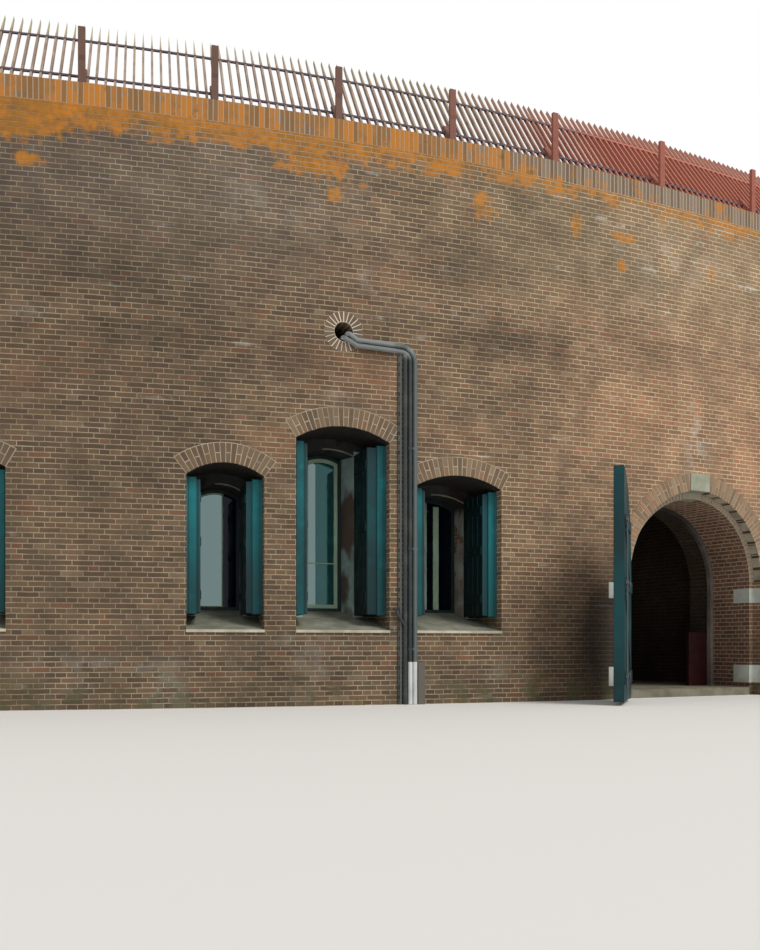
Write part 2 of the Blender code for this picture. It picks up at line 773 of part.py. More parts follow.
def fence(name, start, end, finish):
    """One bay of the fence: a lattice of pickets and rails, joined to its posts."""
    count = int((end - start) / PICKET_PITCH)
    first = 0.5 * (start + end) - 0.5 * (count - 1) * PICKET_PITCH
    middles = [first + i * PICKET_PITCH for i in range(count)]
    bm = lattice(start + GAP, end - GAP, middles)
    lean(bm)
    section = add(f"fence_{name}", bm, finish)
    posts = bmesh.new()
    for s in post_places(start, end):
        post(posts, s)
    bend(posts)
    change(section, add(f"posts_{name}", posts), "UNION")
    return section


def facet_sag(s):
    """How far in from the true curve the flat facet of the front wall lies at s."""
    grid = stations(-0.5 * BAY, 0.5 * BAY)
    low = max(station for station in grid if station <= s)
    high = min(station for station in grid if station > s)
    return (s - low) * (high - s) / (2.0 * FACE_RADIUS)


def pipe(name, step, leave, finish):
    """A pipe out of the vent hole, along the wall, round a bend and down to the ground."""
    across = PIPE_AT + step * PIPE_PITCH
    sweep = PIPE_BEND + step * PIPE_PITCH
    level = PIPE_TURN_Z + step * PIPE_RUN_STEP
    off = -PIPE_RADIUS - GAP
    x, z = leave
    route = [
        (x, PIPE_INSIDE, z),
        (x, PIPE_LEAVES_BEHIND, z),
        (x + 0.8 * PIPE_RADIUS, off, z - 0.4 * PIPE_RADIUS),
    ]
    bend_start = across - sweep
    corners = [s for s in stations(-0.5 * BAY, 0.5 * BAY) if PIPE_RUN_START < s < bend_start]
    for s in [PIPE_RUN_START] + corners + [bend_start]:
        share = (bend_start - s) / (bend_start - PIPE_RUN_START)
        route.append((s, off + facet_sag(s), level + PIPE_RUN_FALL * share))
    for i in range(1, BEND_STEPS + 1):
        t = 0.5 * math.pi * i / BEND_STEPS
        s = bend_start + sweep * math.sin(t)
        route.append((s, off + facet_sag(s), level - sweep + sweep * math.cos(t)))
    route.append((across, off + facet_sag(across), GAP))
    run = tube(name, route, PIPE_RADIUS, finish)
    back = facet_sag(across) - 2.0 * GAP
    for i in range(CLIP_COUNT):
        low = CLIP_FIRST + CLIP_PITCH * i
        rings = box_rings((-0.5 * CLIP_WIDTH, 0.5 * CLIP_WIDTH), (back - CLIP_DEPTH, back),
                          (low, low + CLIP_HEIGHT))
        change(run, solid(f"clip_{name}_{i}", rings, middle=across), "UNION")
    return run


def tube(name, route, radius, finish):
    """A round bar along a path, swept as a curve and kept as a mesh."""
    curve = bpy.data.curves.new(f"{name} path", "CURVE")
    curve.dimensions = "3D"
    curve.bevel_depth = radius
    curve.bevel_resolution = PIPE_STEPS
    curve.use_fill_caps = True
    line = curve.splines.new("POLY")
    line.points.add(len(route) - 1)
    for point, place in zip(line.points, route):
        point.co = (*at(*place), 1.0)
    sweep = bpy.data.objects.new(f"{name} path", curve)
    bm = bmesh.new()
    bm.from_mesh(sweep.to_mesh())
    sweep.to_mesh_clear()
    bpy.data.objects.remove(sweep)
    bmesh.ops.remove_doubles(bm, verts=bm.verts[:], dist=0.1 * GAP)
    return add(name, bm, finish)


def pipes(finishes):
    pipe("pipe_black", 0, (BLACK_LEAVES_AT, VENT_Z - BLACK_LEAVES_DOWN), finishes["black"])
    pipe("pipe_grey", 1, (GREY_LEAVES_AT, VENT_Z - GREY_LEAVES_DOWN), finishes["grey"])
    back = facet_sag(DUCT_AT) - 2.0 * GAP
    rings = box_rings((-0.5 * DUCT_WIDTH, 0.5 * DUCT_WIDTH), (back - DUCT_DEPTH, back),
                      (0.0, DUCT_TOP))
    solid("pipe_duct", rings, finishes["grey"], DUCT_AT)


def finishes_of():
    return {
        "brick": material("brick", (0.22, 0.13, 0.09), 0.9),
        "stone": material("stone", (0.45, 0.43, 0.38), 0.85),
        "render": material("render", (0.38, 0.37, 0.34), 0.85),
        "frame": material("window frame", (0.35, 0.42, 0.38), 0.5),
        "teal": material("teal paint", (0.01, 0.12, 0.11), 0.45),
        "red": material("red paint", (0.20, 0.03, 0.03), 0.6),
        "iron": material("rusty iron", (0.28, 0.13, 0.10), 0.75, 0.3),
        "black": material("black plastic", (0.03, 0.03, 0.03), 0.5),
        "grey": material("grey plastic", (0.30, 0.30, 0.33), 0.5),
    }


def main():
    clear_scene()
    finishes = finishes_of()
    window_bay("left", -BAY, finishes)
    middle = window_bay("middle", 0.0, finishes)
    change(middle, vent_cutter(), "DIFFERENCE")
    doorway(finishes)
    shell(finishes)
    fence("left", RANGE_START, -0.5 * BAY, finishes["iron"])
    fence("middle", -0.5 * BAY, 0.5 * BAY, finishes["iron"])
    fence("right", 0.5 * BAY, RANGE_END, finishes["iron"])
    pipes(finishes)


main()
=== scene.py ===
"""Finishes for a curved range of brick barracks: brickwork, joinery, ironwork and a plain stage."""

import math

import bmesh
import bpy
from mathutils import Matrix, Vector


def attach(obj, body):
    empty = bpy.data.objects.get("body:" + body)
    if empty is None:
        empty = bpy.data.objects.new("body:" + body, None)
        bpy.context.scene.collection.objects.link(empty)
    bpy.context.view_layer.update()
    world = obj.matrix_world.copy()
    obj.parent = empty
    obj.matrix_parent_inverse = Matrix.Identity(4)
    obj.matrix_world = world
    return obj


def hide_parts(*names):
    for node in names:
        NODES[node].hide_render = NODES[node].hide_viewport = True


bl_info = {
    "name": "Barracks range finishes",
    "version": (1, 0, 0),
    "blender": (4, 5, 0),
    "location": "View3D > Sidebar > Range",
    "description": "Brickwork, joinery and ironwork for a curved barracks range",
    "category": "Object",
}

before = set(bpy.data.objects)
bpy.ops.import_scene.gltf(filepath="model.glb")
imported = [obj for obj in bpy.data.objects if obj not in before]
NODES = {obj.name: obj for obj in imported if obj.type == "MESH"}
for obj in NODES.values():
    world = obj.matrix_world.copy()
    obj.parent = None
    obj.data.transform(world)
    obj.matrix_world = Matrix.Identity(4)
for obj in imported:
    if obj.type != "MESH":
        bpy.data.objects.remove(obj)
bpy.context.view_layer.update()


# The range's plan, as in its solids
FACE_RADIUS = 31.1
RANGE_MIDDLE = -0.55
CENTRE_Y = 27.8
BAY = 5.54
WALL_TOP = 6.354
COPING_TOP = 6.589
REAR_FACE = 5.94
RANGE_END = 7.21
ROOM_FRONT = 1.26
PARTY_WALLS = (-8.29, 7.19)

# Windows
SHUTTER_DEPTH = 0.70
FRAME_DEPTH = 1.03
INNER_NARROWING = 0.145
INNER_DROP = 0.13
SILL_Z = 0.84
SILL_RISE = 0.25
SHUTTER_THICKNESS = 0.115
SHUTTER_FRONT = 0.13
SHUTTER_BOTTOM = 1.02
SHUTTER_BOARDS = 4
FOLDED_LEAF = 0.06
FOLDED_PAIR = 0.11
LINING_FRONT = 0.085
LINING_BACK = 0.15
VENT_Z = 4.204

# Panes and casements, behind the frame's front
FRAME_WIDTH = 0.042
CASEMENT_BACK = 0.022
PANE_BACK = 0.036
PANE_THICKNESS = 0.006

# Doorway
DOOR_AT = 4.99
DOOR_RADIUS = 1.16
DOOR_SPRING = 1.55
INNER_RADIUS = 1.07
REBATE = 0.135
RING_WIDTH = 0.224
KEY_HALF = 0.165
HINGE_REACH = 1.35
HINGE_PROUD = 0.02
LEAF_FRONT = 0.03
LEAF_THICKNESS = 0.11
LEAF_RADIUS = 1.145
LEAF_OPEN = 135.0
LEAF_BOARDS = 8
BOLT_AT = 1.27
BOLT_LENGTH = 1.9

ARCH_PITCH = 0.0585
ARCH_JOINT = 0.0085
WINDOW_RING = 0.212
VENT_RING = (0.112, 0.225)
VENT_PITCH = 0.046
BRICK_BED = 0.03
FENCE_LEAN = math.radians(35.0)
FENCE_SETBACK = 0.055
LOW_RAIL = 0.185
HIGH_RAIL = 0.995
POST_PITCH = 1.385
DOOR_POST_PITCH = 1.64
PICKET_HALF = 0.012

# Pipes, and the cables beside them
PIPES_AT = (0.785, 0.845)
CABLE_LENGTH = 4.0
CABLE_MIDDLE = 2.005
CABLE_SUNK = 0.0035

# A brick of the coping and its row
COPING_BRICK = 0.056
COPING_ROW = 0.225

# The camera, fitted to the photograph in pixels
FOCAL = 970.0
PICTURE_HEIGHT = 950.0
HORIZON_SHIFT = 171.8
CAMERA_YAW = -16.447
SENSOR = 36.0
FLOOR_RADIUS = 90.0


def angle_at(s):
    return (s - RANGE_MIDDLE) / FACE_RADIUS


def at(s, d, z):
    """The place of a point on or behind the curved front face."""
    reach = FACE_RADIUS - d
    return Vector((reach * math.sin(angle_at(s)), CENTRE_Y - reach * math.cos(angle_at(s)), z))


def opening(middle):
    """The straight frame of the opening at s = middle: x along it, y inwards."""
    return Matrix.Translation(at(middle, 0.0, 0.0)) @ Matrix.Rotation(angle_at(middle), 4, "Z")


def face_y(x, d=0.0):
    """How far in, in an opening's frame, the curve at the depth d lies at x."""
    return FACE_RADIUS - math.sqrt((FACE_RADIUS - d) ** 2 - x * x)


def windows():
    """(name, middle, half width, springing height, rise) of all the front windows."""
    for bay, middle in (("left", -BAY), ("middle", 0.0)):
        yield f"{bay}_left", middle - 1.32, 0.42, 2.525, 0.14
        yield f"{bay}_centre", middle, 0.545, 2.985, 0.155
        yield f"{bay}_right", middle + 1.42, 0.545, 2.525, 0.14


def size_setting(label, about, default):
    return bpy.props.FloatProperty(name=label, description=about, default=default, unit="LENGTH")


def colour_setting(label, about, default):
    return bpy.props.FloatVectorProperty(name=label, description=about, default=default,
                                         subtype="COLOR")


class RangeSettings(bpy.types.PropertyGroup):
    """Sizes and colours that a user may want to change."""

    course: size_setting("Course", "Height of a course of bricks with its joint", 0.056)
    header: size_setting("Header", "Width of a brick's end with its joint", 0.110)
    joint: size_setting("Joint", "Width of the mortar joints", 0.010)
    brick: colour_setting("Brick", "Colour of most bricks", (0.205, 0.128, 0.072))
    brick_dark: colour_setting("Dark brick", "Colour of the darker bricks", (0.108, 0.070, 0.043))
    brick_red: colour_setting("Red brick", "Colour of bricks that have lost their skin",
                              (0.270, 0.110, 0.060))
    mortar: colour_setting("Mortar", "Colour of the joints", (0.470, 0.385, 0.250))
    lichen: colour_setting("Lichen", "Colour of the lichen under the coping", (0.56, 0.20, 0.010))
    teal: colour_setting("Shutter paint", "Colour of the shutters and doors",
                         (0.005, 0.150, 0.172))
    rust: colour_setting("Rust", "Colour of the rusty fence", (0.36, 0.120, 0.075))


# Node helpers


def feed(tree, slot, item):
    if isinstance(item, Value):
        tree.links.new(item.socket, slot)
    elif isinstance(item, bpy.types.NodeSocket):
        tree.links.new(item, slot)
    else:
        slot.default_value = item


class Value:
    """A number that varies over a surface: Python's own signs add the nodes that reckon it."""

    def __init__(self, tree, socket):
        self.tree = tree
        self.socket = socket

    def step(self, operation, *others):
        node = self.tree.nodes.new("ShaderNodeMath")
        node.operation = operation
        for slot, item in zip(node.inputs, (self,) + others):
            feed(self.tree, slot, item)
        return Value(self.tree, node.outputs[0])

    def __add__(self, other):
        return self.step("ADD", other)

    def __mul__(self, other):
        return self.step("MULTIPLY", other)

    __radd__ = __add__
    __rmul__ = __mul__

    def __sub__(self, other):
        return self.step("SUBTRACT", other)

    def __rsub__(self, other):
        return self.step("MULTIPLY", -1.0) + other

    def __truediv__(self, other):
        return self.step("DIVIDE", other)

    def __abs__(self):
        return self.step("ABSOLUTE")

    def low_of(self, other):
        return self.step("MINIMUM", other)

    def high_of(self, other):
        return self.step("MAXIMUM", other)

    def whole(self):
        return self.step("FLOOR")

    def part(self):
        return self.step("FRACT")

    def over(self, other):
        return self.step("GREATER_THAN", other)

    def within(self, low, high):
        """1 between two limits and 0 beyond them."""
        return (self - low).over(0.0) * (high - self).over(0.0)

    def ramp(self, low, high):
        """0 at low and 1 at high, smooth between; low may be the greater."""
        node = self.tree.nodes.new("ShaderNodeMapRange")
        node.interpolation_type = "SMOOTHSTEP"
        feed(self.tree, node.inputs["Value"], self)
        node.inputs["From Min"].default_value = low
        node.inputs["From Max"].default_value = high
        return Value(self.tree, node.outputs["Result"])


def vector_of(tree, x, y, z=0.0):
    node = tree.nodes.new("ShaderNodeCombineXYZ")
    for slot, item in zip(node.inputs, (x, y, z)):
        feed(tree, slot, item)
    return node.outputs[0]


def noise(tree, place, scale, detail=2.0, seed=0.0):
    node = tree.nodes.new("ShaderNodeTexNoise")
    node.noise_dimensions = "4D"
    feed(tree, node.inputs["Vector"], place)
    node.inputs["W"].default_value = seed
    node.inputs["Scale"].default_value = scale
    node.inputs["Detail"].default_value = detail
    return Value(tree, node.outputs[0])


def mix(tree, share, first, second):
    """One colour laid over another where share is high."""
    node = tree.nodes.new("ShaderNodeMix")
    node.data_type = "RGBA"
    feed(tree, node.inputs[0], share)
    for index, item in ((6, first), (7, second)):
        feed(tree, node.inputs[index], (*item, 1.0) if isinstance(item, tuple) else item)
    return node.outputs[2]


def darken(tree, colour, amount):
    node = tree.nodes.new("ShaderNodeMix")
    node.data_type = "RGBA"
    node.blend_type = "MULTIPLY"
    node.inputs[0].default_value = 1.0
    feed(tree, node.inputs[6], colour)
    shade = tree.nodes.new("ShaderNodeCombineColor")
    for slot in shade.inputs:
        feed(tree, slot, amount)
    feed(tree, node.inputs[7], shade.outputs[0])
    return node.outputs[2]


def make_group(name, inputs, outputs, build):
    tree = bpy.data.node_groups.get(name)
    if tree:
        return tree
    tree = bpy.data.node_groups.new(name, "ShaderNodeTree")
    for label, kind, default in inputs:
        socket = tree.interface.new_socket(label, in_out="INPUT", socket_type=kind)
        if default is not None:
            socket.default_value = default
    for label in outputs:
        tree.interface.new_socket(label, in_out="OUTPUT", socket_type="NodeSocketFloat")
    entry = tree.nodes.new("NodeGroupInput")
    leave = tree.nodes.new("NodeGroupOutput")
    given = {socket.name: Value(tree, socket) for socket in entry.outputs if socket.name}
    for label, item in zip(outputs, build(tree, given)):
        feed(tree, leave.inputs[label], item)
    return tree


def use_group(tree, group, **given):
    node = tree.nodes.new("ShaderNodeGroup")
    node.node_tree = group
    for label, item in given.items():
        feed(tree, node.inputs[label], item)
    return {socket.name: Value(tree, socket) for socket in node.outputs}


def place_group():
    """Where a point lies on the curved walls, and how a course of bricks runs there."""
    def build(tree, given):
        where = tree.nodes.new("ShaderNodeTexCoord")
        spot = tree.nodes.new("ShaderNodeSeparateXYZ")
        turn = tree.nodes.new("ShaderNodeSeparateXYZ")
        tree.links.new(where.outputs["Object"], spot.inputs[0])
        tree.links.new(where.outputs["Normal"], turn.inputs[0])
        x, y, z = (Value(tree, socket) for socket in spot.outputs)
        nx, ny, nz = (Value(tree, socket) for socket in turn.outputs)
        deep = CENTRE_Y - y
        reach = (x * x + deep * deep).step("SQRT")
        s = x.step("ARCTAN2", deep) * FACE_RADIUS + RANGE_MIDDLE
        d = FACE_RADIUS - reach
        across = (nx * deep + ny * x) / reach
        outwards = (nx * x - ny * deep) / reach
        facing = abs(outwards).ramp(0.45, 0.55)
        flat = abs(nz).ramp(0.75, 0.85)
        upright = abs(across).over(abs(nz))
        from_door = abs(s - DOOR_AT)
        in_door = (1.3 - from_door).over(0.0)
        over_spring = (z - DOOR_SPRING).over(0.0)
        barrel = (z - DOOR_SPRING).step("ARCTAN2", from_door) * INNER_RADIUS + DOOR_SPRING
        side_v = upright * z + (1.0 - upright) * s
        arched = in_door * over_spring
        side_v = side_v * (1.0 - arched) + barrel * arched
        u = facing * s + (1.0 - facing) * d
        v = facing * z + (1.0 - facing) * side_v
        return s, d, z, u, v, facing, flat
    return make_group("place on the range", (), ("S", "D", "Z", "U", "V", "Facing", "Flat"), build)


def bond_group():
    """Cross bond: courses of headers and stretchers, each stretcher course shifted by a header."""
    inputs = (("U", "NodeSocketFloat", 0.0), ("V", "NodeSocketFloat", 0.0),
              ("Course", "NodeSocketFloat", 0.056), ("Header", "NodeSocketFloat", 0.11),
              ("Joint", "NodeSocketFloat", 0.011))

    def build(tree, given):
        u, v, course, header, joint = (given[label] for label, _, _ in inputs)
        place = vector_of(tree, u, v)
        u = u + (noise(tree, place, 9.0, 2.0, 1.0) - 0.5) * 0.012
        v = v + (noise(tree, place, 5.0, 3.0, 2.0) - 0.5) * 0.012
        row = (v / course).whole()
        stretch = row - (row / 2.0).whole() * 2.0
        swap = (row / 2.0).whole()
        swap = swap - (swap / 2.0).whole() * 2.0
        unit = header + header * stretch
        cell = (u - stretch * header * (0.5 + swap)) / unit
        along = cell.part()
        up = (v / course).part()
        edge_u = along.low_of(1.0 - along) * unit
        edge_v = up.low_of(1.0 - up) * course
        edge = (edge_u + 0.0012).low_of(edge_v) + (noise(tree, place, 90.0, 1.0, 3.0) - 0.5) * 0.006
        mortar = (edge - joint * 0.5).ramp(0.0018, -0.0018)
        dice = tree.nodes.new("ShaderNodeTexWhiteNoise")
        dice.noise_dimensions = "2D"
        tree.links.new(vector_of(tree, cell.whole() + stretch * 57.0, row), dice.inputs["Vector"])
        tone = Value(tree, dice.outputs["Value"])
        split = tree.nodes.new("ShaderNodeSeparateColor")
        tree.links.new(dice.outputs["Color"], split.inputs[0])
        odd = Value(tree, split.outputs[1])
        return mortar, tone, odd
    return make_group("cross bond", inputs, ("Mortar", "Tone", "Odd"), build)


def weather_group():
    """Broad drifts of colour over old walls: soot, salts, lost skins, lichen and fine grain."""
    inputs = (("Place", "NodeSocketVector", None),)

    def build(tree, given):
        place = given["Place"]
        drift = noise(tree, place, 0.32, 4.0, 11.0)
        patch = noise(tree, place, 1.1, 4.0, 12.0)
        bits = noise(tree, place, 5.5, 3.0, 13.0)
        streak = noise(tree, vector_of(tree, *stretched(tree, place)), 1.0, 3.0, 14.0)
        grain = noise(tree, place, 160.0, 2.0, 15.0)
        return drift, patch, bits, streak, grain

    def stretched(tree, place):
        node = tree.nodes.new("ShaderNodeSeparateXYZ")
        tree.links.new(place.socket, node.inputs[0])
        x, y, z = (Value(tree, socket) for socket in node.outputs)
        return x * 7.0, y * 0.7, z * 7.0
    return make_group("weather", inputs, ("Drift", "Patch", "Bits", "Streak", "Grain"), build)


def new_material(name):
    finish = bpy.data.materials.new(name)
    finish.use_nodes = True
    return finish, finish.node_tree, finish.node_tree.nodes["Principled BSDF"]


def weathered(name):
    """A new material, with the place on it and the drifts of weather there."""
    finish, tree, shader = new_material(name)
    where = tree.nodes.new("ShaderNodeTexCoord").outputs["Object"]
    return finish, tree, shader, where, use_group(tree, weather_group(), Place=where)


def surface(tree, shader, colour, roughness, height=None, depth=0.002, strength=0.6):
    feed(tree, shader.inputs["Base Color"], colour)
    feed(tree, shader.inputs["Roughness"], roughness)
    if height is not None:
        bump = tree.nodes.new("ShaderNodeBump")
        bump.inputs["Strength"].default_value = strength
        bump.inputs["Distance"].default_value = depth
        feed(tree, bump.inputs["Height"], height)
        tree.links.new(bump.outputs[0], shader.inputs["Normal"])


def stain(s, z, at_s, at_z, wide, high):
    """A soft spot on the wall, 1 in its middle and fading far out."""
    x = (s - at_s) / wide
    y = (z - at_z) / high
    return ((x * x + y * y) * 1.6 + 1.0).step("POWER", -2.0)


def stains(s, z, spots):
    total = None
    for at_s, at_z, wide, high, weight in spots:
        one = stain(s, z, at_s, at_z, wide, high) * weight
        total = one if total is None else total.high_of(one)
    return total


DARK_SPOTS = (
    (3.45, 0.75, 0.75, 1.50, 1.6),
    (2.85, 1.10, 0.55, 0.80, 0.55),
    (2.78, 4.28, 0.30, 0.50, 0.75),
    (2.35, 3.70, 0.70, 0.70, 0.45),
    (3.95, 4.45, 0.90, 0.50, 0.40),
    (-0.7, 5.05, 1.70, 0.35, 0.40),
    (-2.6, 4.70, 1.60, 0.50, 0.40),
    (-2.1, 4.00, 1.30, 0.30, 0.35),
    (1.60, 5.10, 1.20, 0.60, 0.50),
    (1.90, 4.30, 1.20, 0.45, 0.75),
)
RED_SPOTS = (
    (0.15, 3.74, 0.80, 0.42, 1.1),
    (-0.80, 2.92, 0.60, 0.32, 0.9),
    (-0.62, 4.02, 0.28, 0.14, 1.0),
    (4.97, 3.72, 0.14, 0.22, 1.2),
    (3.0, 5.05, 0.35, 0.35, 0.7),
    (3.9, 3.6, 1.2, 0.7, 0.55),
    (5.9, 3.2, 0.8, 1.2, 0.5),
    (1.45, 3.10, 0.9, 0.35, 0.5),
    (-0.1, 2.0, 0.5, 0.9, 0.35),
    (-3.6, 3.5, 0.9, 0.40, 0.6),
    (0.4, 4.9, 1.1, 0.35, 0.7),
    (0.0, 3.9, 0.9, 0.35, 1.0),
    (-5.6, 3.7, 1.4, 0.40, 0.5),
)
PALE_SPOTS = (
    (4.93, 3.30, 0.22, 0.62, 1.0),
    (4.3, 5.65, 1.40, 0.50, 0.4),
    (-0.05, 3.62, 0.16, 0.35, 0.8),
    (0.20, 4.85, 0.35, 0.15, 0.7),
    (1.15, 5.08, 0.45, 0.10, 0.7),
    (-0.9, 5.55, 0.9, 0.30, 0.5),
    (-3.3, 4.15, 0.5, 0.12, 0.6),
    (1.3, 4.55, 0.4, 0.10, 0.6),
    (-2.6, 0.45, 1.00, 0.12, 1.0),
    (-0.45, 0.72, 0.45, 0.12, 0.7),
    (0.5, 0.30, 0.80, 0.12, 0.6),
)
LICHEN_SPOTS = (
    (-3.6, 6.12, 1.25, 0.30, 1.5),
    (-3.35, 5.72, 0.32, 0.16, 1.0),
    (-6.4, 6.10, 1.80, 0.24, 1.2),
    (-0.35, 6.05, 0.85, 0.40, 1.0),
    (-0.15, 5.72, 0.25, 0.25, 0.8),
    (1.75, 5.85, 0.45, 0.45, 0.75),
    (3.02, 5.85, 0.16, 0.40, 1.1),
    (3.75, 5.82, 0.50, 0.10, 1.2),
    (3.70, 5.45, 0.14, 0.16, 1.1),
    (5.2, 5.55, 0.12, 0.30, 0.9),
    (4.95, 3.92, 0.08, 0.06, 1.0),
    (6.3, 5.75, 0.45, 0.30, 0.9),
)


def brick_colours(tree, look, tone, odd, weather):
    """The mixed colours of the bricks, before any stain."""
    share = tone.ramp(0.0, 1.0) * 0.75 + weather["Drift"].ramp(0.35, 0.65) * 0.25
    colour = mix(tree, share, tuple(look.brick_dark), tuple(look.brick))
    colour = mix(tree, odd.over(0.955) * 0.45, colour, tuple(look.brick_red))
    colour = mix(tree, odd.ramp(0.06, 0.02) * 0.5, colour, (0.29, 0.21, 0.13))
    burnt = (odd - 0.5).step("ABSOLUTE").ramp(0.04, 0.02)
    colour = mix(tree, burnt * 0.4, colour, (0.075, 0.055, 0.045))
    return mix(tree, weather["Bits"].ramp(0.5, 0.75) * 0.25, colour, (0.15, 0.125, 0.09))


def painted_light(s, z):
    """Painted light: how much brighter the wall is painted, little at the left, most at the right,
    and darker low down towards the right.
    """
    return (s.ramp(-3.2, 5.5) * 0.70 + 0.76) * (1.0 - s.ramp(-2.0, 5.0) * z.ramp(1.7, 0.5) * 0.5)


def lichen_colour(tree, look, flakes):
    """Orange, browner where it is thin."""
    thin = tuple(part * share for part, share in zip(look.lichen, (0.62, 0.72, 1.3)))
    return mix(tree, flakes.ramp(0.42, 0.60), thin, tuple(look.lichen))


def bay_offset(s):
    return abs((s / BAY + 0.5).part() - 0.5) * BAY


def window_shade(s, d, z, flat):
    """Painted shade, with some soot, on the arched soffits and on the step above the inner opening.
    """
    bay = bay_offset(s)
    crown = z - (0.62 - bay).over(0.0) * 0.46
    soffit = flat * crown.over(2.3) * (3.2 - crown).over(0.0) * (d - 0.004).over(0.0)
    step = d.within(0.60, 1.24) * crown.ramp(2.30, 2.44)
    return soffit.high_of(step)


def brick_material(name, front=True, plaster=False):
    """Old brown-red brickwork in cross bond."""
    look = bpy.context.scene.range_look
    finish, tree, shader, where, weather = weathered(name)
    here = use_group(tree, place_group())
    s, d, z = here["S"], here["D"], here["Z"]
    bond = use_group(tree, bond_group(), U=here["U"], V=here["V"], Course=look.course,
                     Header=look.header, Joint=look.joint)
    patch, bits, drift = weather["Patch"], weather["Bits"], weather["Drift"]
    colour = brick_colours(tree, look, bond["Tone"], bond["Odd"], weather)
    red = patch.ramp(0.62, 0.72) * 0.3
    soot = drift.ramp(0.48, 0.36) * 0.25 + weather["Streak"].ramp(0.52, 0.75) * 0.15
    salt = z.ramp(1.0, 0.3) * patch.ramp(0.5, 0.64) * 0.45
    more = z.ramp(WALL_TOP - 0.45, WALL_TOP) * (0.75 if front else 0.45)
    if front:
        more = more + z.ramp(WALL_TOP - 0.75, WALL_TOP - 0.1) * s.ramp(2.5, -1.5) * 0.30
        red = red.high_of(stains(s, z, RED_SPOTS) * bits.ramp(0.2, 0.6) * 0.9)
        soot = soot + stains(s, z, DARK_SPOTS) * (patch * 0.9 + 0.5)
        salt = salt.high_of(stains(s, z, PALE_SPOTS) * bits.ramp(0.25, 0.6) * 0.55)
        more = more.high_of(stains(s, z, LICHEN_SPOTS))
    flakes = bits * 0.6 + noise(tree, where, 13.0, 4.0, 32.0) * 0.4
    lichen = (flakes + more * 0.42).ramp(0.66, 0.86)
    soot = soot.low_of(1.0)
    colour = mix(tree, s.ramp(0.5, 5.0) * 0.25 + red * 0.65, colour, (0.315, 0.140, 0.068))
    green = z.ramp(4.3, 5.5) * s.ramp(0.5, 2.5)
    colour = mix(tree, green * 0.5, colour, (0.200, 0.150, 0.084))
    colour = mix(tree, z.ramp(4.2, 5.6) * s.ramp(1.0, -1.0) * 0.45, colour, (0.180, 0.145, 0.122))
    pale_joint = mix(tree, bits.ramp(0.35, 0.7) * 0.7, tuple(look.mortar), (0.25, 0.205, 0.14))
    limed = noise(tree, vector_of(tree, here["U"] * 1.3, here["V"] * 7.0), 1.0, 3.0, 31.0)
    salt = salt.high_of((limed + green * 0.03).ramp(0.62, 0.70) * 0.75)
    pale_joint = mix(tree, salt, pale_joint, (0.66, 0.61, 0.50))
    colour = mix(tree, bond["Mortar"], colour, pale_joint)
    colour = mix(tree, salt * bits.ramp(0.45, 0.6) * 0.7, colour, (0.45, 0.43, 0.37))
    mottle = noise(tree, where, 3.2, 4.0, 33.0).ramp(0.30, 0.70) * 0.36 + 0.82
    # Soot and mottle, with painted light brighter towards the right end.
    light = (1.0 - soot * 0.78) * painted_light(s, z) * mottle
    colour = darken(tree, colour, light)
    moss = z.ramp(0.55, 0.05) * bits.ramp(0.46, 0.62) * 0.6
    colour = mix(tree, moss, colour, (0.085, 0.085, 0.03))
    solid = s.ramp(-1.8, -3.0) * 0.45 + 0.25
    covered = lichen * (1.0 - bond["Mortar"] * (1.0 - solid)) * (0.78 + bond["Tone"] * 0.2)
    colour = mix(tree, covered, colour, lichen_colour(tree, look, flakes))
    # Painted shade: bricks inside the rooms are darkened by three quarters, and those at the back
    # of the doorway by most.
    inside = d.within(ROOM_FRONT, REAR_FACE + 0.02) * s.within(*PARTY_WALLS) * 0.75
    by_door = (1.2 - abs(s - DOOR_AT)).over(0.0)
    passage_shade = d.within(0.875, ROOM_FRONT) * by_door
    reveal = d.within(0.14, 0.88) * by_door
    ruddy = mix(tree, bond["Tone"], (0.070, 0.036, 0.034), (0.175, 0.070, 0.056))
    colour = mix(tree, reveal * (1.0 - bond["Mortar"]) * 0.6, colour, ruddy)
    colour = mix(tree, reveal * bond["Mortar"] * 0.5, colour, (0.50, 0.40, 0.30))
    # Painted shade inside the rooms and at the back of the doorway.
    colour = darken(tree, colour, (1.0 - inside) * (1.0 - passage_shade * 0.85))
    height = (1.0 - bond["Mortar"]) * 0.8 + weather["Grain"] * 0.3 + bond["Tone"] * 0.15
    if plaster:
        in_bay = (2.3 - bay_offset(s)).over(0.0)
        coat = d.within(0.69, 1.24) * in_bay
        lost = (bits + patch).ramp(1.10, 1.16) * z.ramp(1.3, 1.6)
        coat = coat * (1.0 - lost)
        wash = mix(tree, weather["Streak"].ramp(0.35, 0.7), (0.60, 0.70, 0.66), (0.36, 0.42, 0.38))
        wash = mix(tree, patch.ramp(0.50, 0.60) * 0.6, wash, (0.30, 0.13, 0.09))
        colour = mix(tree, coat, colour, wash)
        height = height * (1.0 - coat) + coat * bits * 0.6
        # Painted shade in each window opening: soffits and the step over the inner opening.
        colour = darken(tree, colour, 1.0 - window_shade(s, d, z, here["Flat"]) * in_bay * 0.95)
    surface(tree, shader, colour, 0.9, height, 0.004, 0.8)
    return finish


